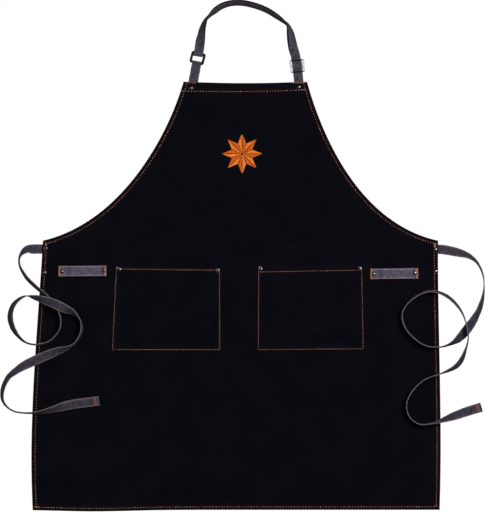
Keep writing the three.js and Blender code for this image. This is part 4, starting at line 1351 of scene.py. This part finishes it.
class Pocket:
    """A patch pocket's front: places by distance from its left side and from its bottom."""

    def __init__(self, row):
        self.corners = {key: Vector(row[key]) for key in ("top_left", "top_right", "low_left", "low_right")}
        self.width = (self.corners["low_right"] - self.corners["low_left"]).length
        self.height = (self.corners["top_left"] - self.corners["low_left"]).length
        self.mouth = row["mouth"]

    def mouth_stitch(self, along):
        return self.mouth[0] + (self.mouth[1] - self.mouth[0]) * along / self.width

    def vertex(self, along, up):
        low = self.corners["low_left"].lerp(self.corners["low_right"], along / self.width)
        high = self.corners["top_left"].lerp(self.corners["top_right"], along / self.width)
        point = low.lerp(high, up / self.height)
        swell = 1.0
        for inset in (along, self.width - along, up):
            swell *= smooth_step(POCKET_SEAM, POCKET_SWELL, inset)
        stand = POCKET_STAND + wave_height(POCKET_CREASE, point.x, point.y)
        under = panel_under(point.x, point.y) + CLOTH + GAP + swell * stand
        seam = min(along, self.width - along, up)
        mouth = self.height - up
        stitch = self.mouth_stitch(along)
        turned = POCKET_TURN_RISE * fold_rise(seam, POCKET_TURN)
        hem = HEM_RISE * fold_rise(mouth, stitch + MOUTH_FOLD)
        thick = CLOTH + max(turned, hem)
        nearest = min(seam, mouth)
        worn = POCKET_WEAR["edge"] * (1 - smooth_step(0, POCKET_WEAR["reach"], nearest))
        return cloth_place(point, under, thick, nearest, (seam - POCKET_STITCH, mouth - stitch), worn)

    def on_top(self, along, up):
        x, y, under, over, wear, seam = self.vertex(along, up)
        return Vector((x, y, over + (1 - STITCH_SINK) * SEAM_DENT))

    def side_seam(self):
        inset = POCKET_STITCH
        corners = [
            (inset, self.height - inset), (inset, inset),
            (self.width - inset, inset), (self.width - inset, self.height - inset),
        ]
        return self.line(corners)

    def mouth_seam(self):
        ends = (POCKET_STITCH + 1, self.width - POCKET_STITCH - 1)
        return self.line([(along, self.height - self.mouth_stitch(along)) for along in ends])

    def line(self, corners):
        points = []
        for (along, up), (next_along, next_up) in zip(corners, corners[1:]):
            for step in range(POCKET_LINE_STEPS + 1):
                part = step / POCKET_LINE_STEPS
                place = (along + (next_along - along) * part, up + (next_up - up) * part)
                points.append(self.on_top(*place))
        return points


def make_pocket(row, canvas, thread):
    pocket = Pocket(row)
    columns = grid_lines(pocket.width, POCKET_EDGE_ROWS, POCKET_EDGE_ROWS, POCKET_STEP)
    past = math.ceil((max(pocket.mouth) + MOUTH_PAST) / MOUTH_STEP)
    near_mouth = MOUTH_ROWS + [step * MOUTH_STEP for step in range(MOUTH_FIRST, past)]
    rows = grid_lines(pocket.height, POCKET_EDGE_ROWS, near_mouth, POCKET_STEP)
    grid = [[pocket.vertex(along, up) for along in columns] for up in reversed(rows)]
    name = row["name"]
    piece = finish_piece(cloth_piece(name + "_cloth", grid), canvas, "canvas", name)
    threads = Threads()
    threads.run(pocket.side_seam())
    threads.run(pocket.mouth_seam())
    inset = POCKET_STITCH + POCKET_TACK["inset"]
    for along in (inset, pocket.width - inset):
        middle = pocket.on_top(along, pocket.height - POCKET_TACK["down"])
        threads.bar(middle, POCKET_TACK["length"], POCKET_TACK["width"], 0.0)
    stitches = threads.piece(name + "_stitches", thread, "canvas")


# Star on the bib

def make_star(light, deep, outline):
    """Eight lozenges in satin stitch, one half of each in a lighter thread, with sewn outlines."""
    spread = math.tan(math.pi / STAR["points"])
    radius = STAR["radius"]
    tones = {1: Threads(), -1: Threads()}
    edges = Threads()

    def on_bib(x, y):
        place = Vector((STAR["x"] + x, STAR["y"] + y))
        return Vector((place.x, place.y, panel_under(place.x, place.y) + CLOTH + STAR["lift"]))

    for point in range(STAR["points"]):
        turn = math.pi / 2 + 2 * math.pi * point / STAR["points"]
        run = Vector((math.cos(turn), math.sin(turn)))
        across = Vector((-run.y, run.x))
        for side in (1, -1):
            for step in range(1, int(radius / STAR["pitch"])):
                along = step * STAR["pitch"]
                half = min(along, radius - along) * spread
                if half < STAR["least"]:
                    continue
                start = run * along + across * (side * STAR["parting"])
                end = run * (along + STAR["slant"] * half / radius) + across * (side * half)
                tones[side].add(on_bib(*start), on_bib(*end), UP, STAR["thread"], STAR["crown"])
            middle = run * (radius / 2) + across * (side * radius / 2 * spread)
            steps = STAR_OUTLINE["steps"]
            for corner, next_corner in ((run * STAR_OUTLINE["start"], middle), (middle, run * radius)):
                points = [on_bib(*corner.lerp(next_corner, step / steps)) for step in range(steps + 1)]
                edges.run(points, STAR_OUTLINE["pitch"], STAR_OUTLINE["thread"])
    tones[1].piece("star_light_satin", light, "canvas")
    tones[-1].piece("star_deep_satin", deep, "canvas")
    edges.piece("star_outline", outline, "canvas")


def build():
    make_camera()
    denim = {name: denim_material(name + "_denim", *colours) for name, colours in DENIM_COLOURS.items()}
    thread = {name: thread_material(name + "_thread", *tones) for name, tones in THREAD_COLOURS.items()}
    black_metal = metal_material("black_coated_metal", **BLACK_METAL)
    steel = metal_material("gunmetal", **GUNMETAL)
    canvas = canvas_material()
    for tie in TIES:
        make_tie(tie, denim["tie"], thread["dusty"], {"red": thread["red"], "light": thread["peach"]})
    make_lights()
    make_floor()
    seam_threads = {"rose": thread["rose_brown"]}
    seam_threads.update({name: thread[name] for name in ("rust", "tan", "golden")})
    make_panel(canvas, seam_threads)
    for row in POCKETS:
        make_pocket(row, canvas, thread["rose_brown"])
    for loop in LOOPS:
        make_loop(loop, denim["loop"], thread["peach"], thread["golden"])
    make_neck(denim["neck"], thread["dusty"])
    make_fitting("neck_ring", RING, RING_LOW, False, black_metal)
    make_fitting("neck_slider", SLIDER, SLIDER_LOW, True, black_metal)
    for place, names in RIVET_PLACES.items():
        for name in names:
            make_rivet(f"{place}_rivet_{name}", steel)
    make_star(thread["amber"], thread["deep_orange"], thread["outline"])


build()
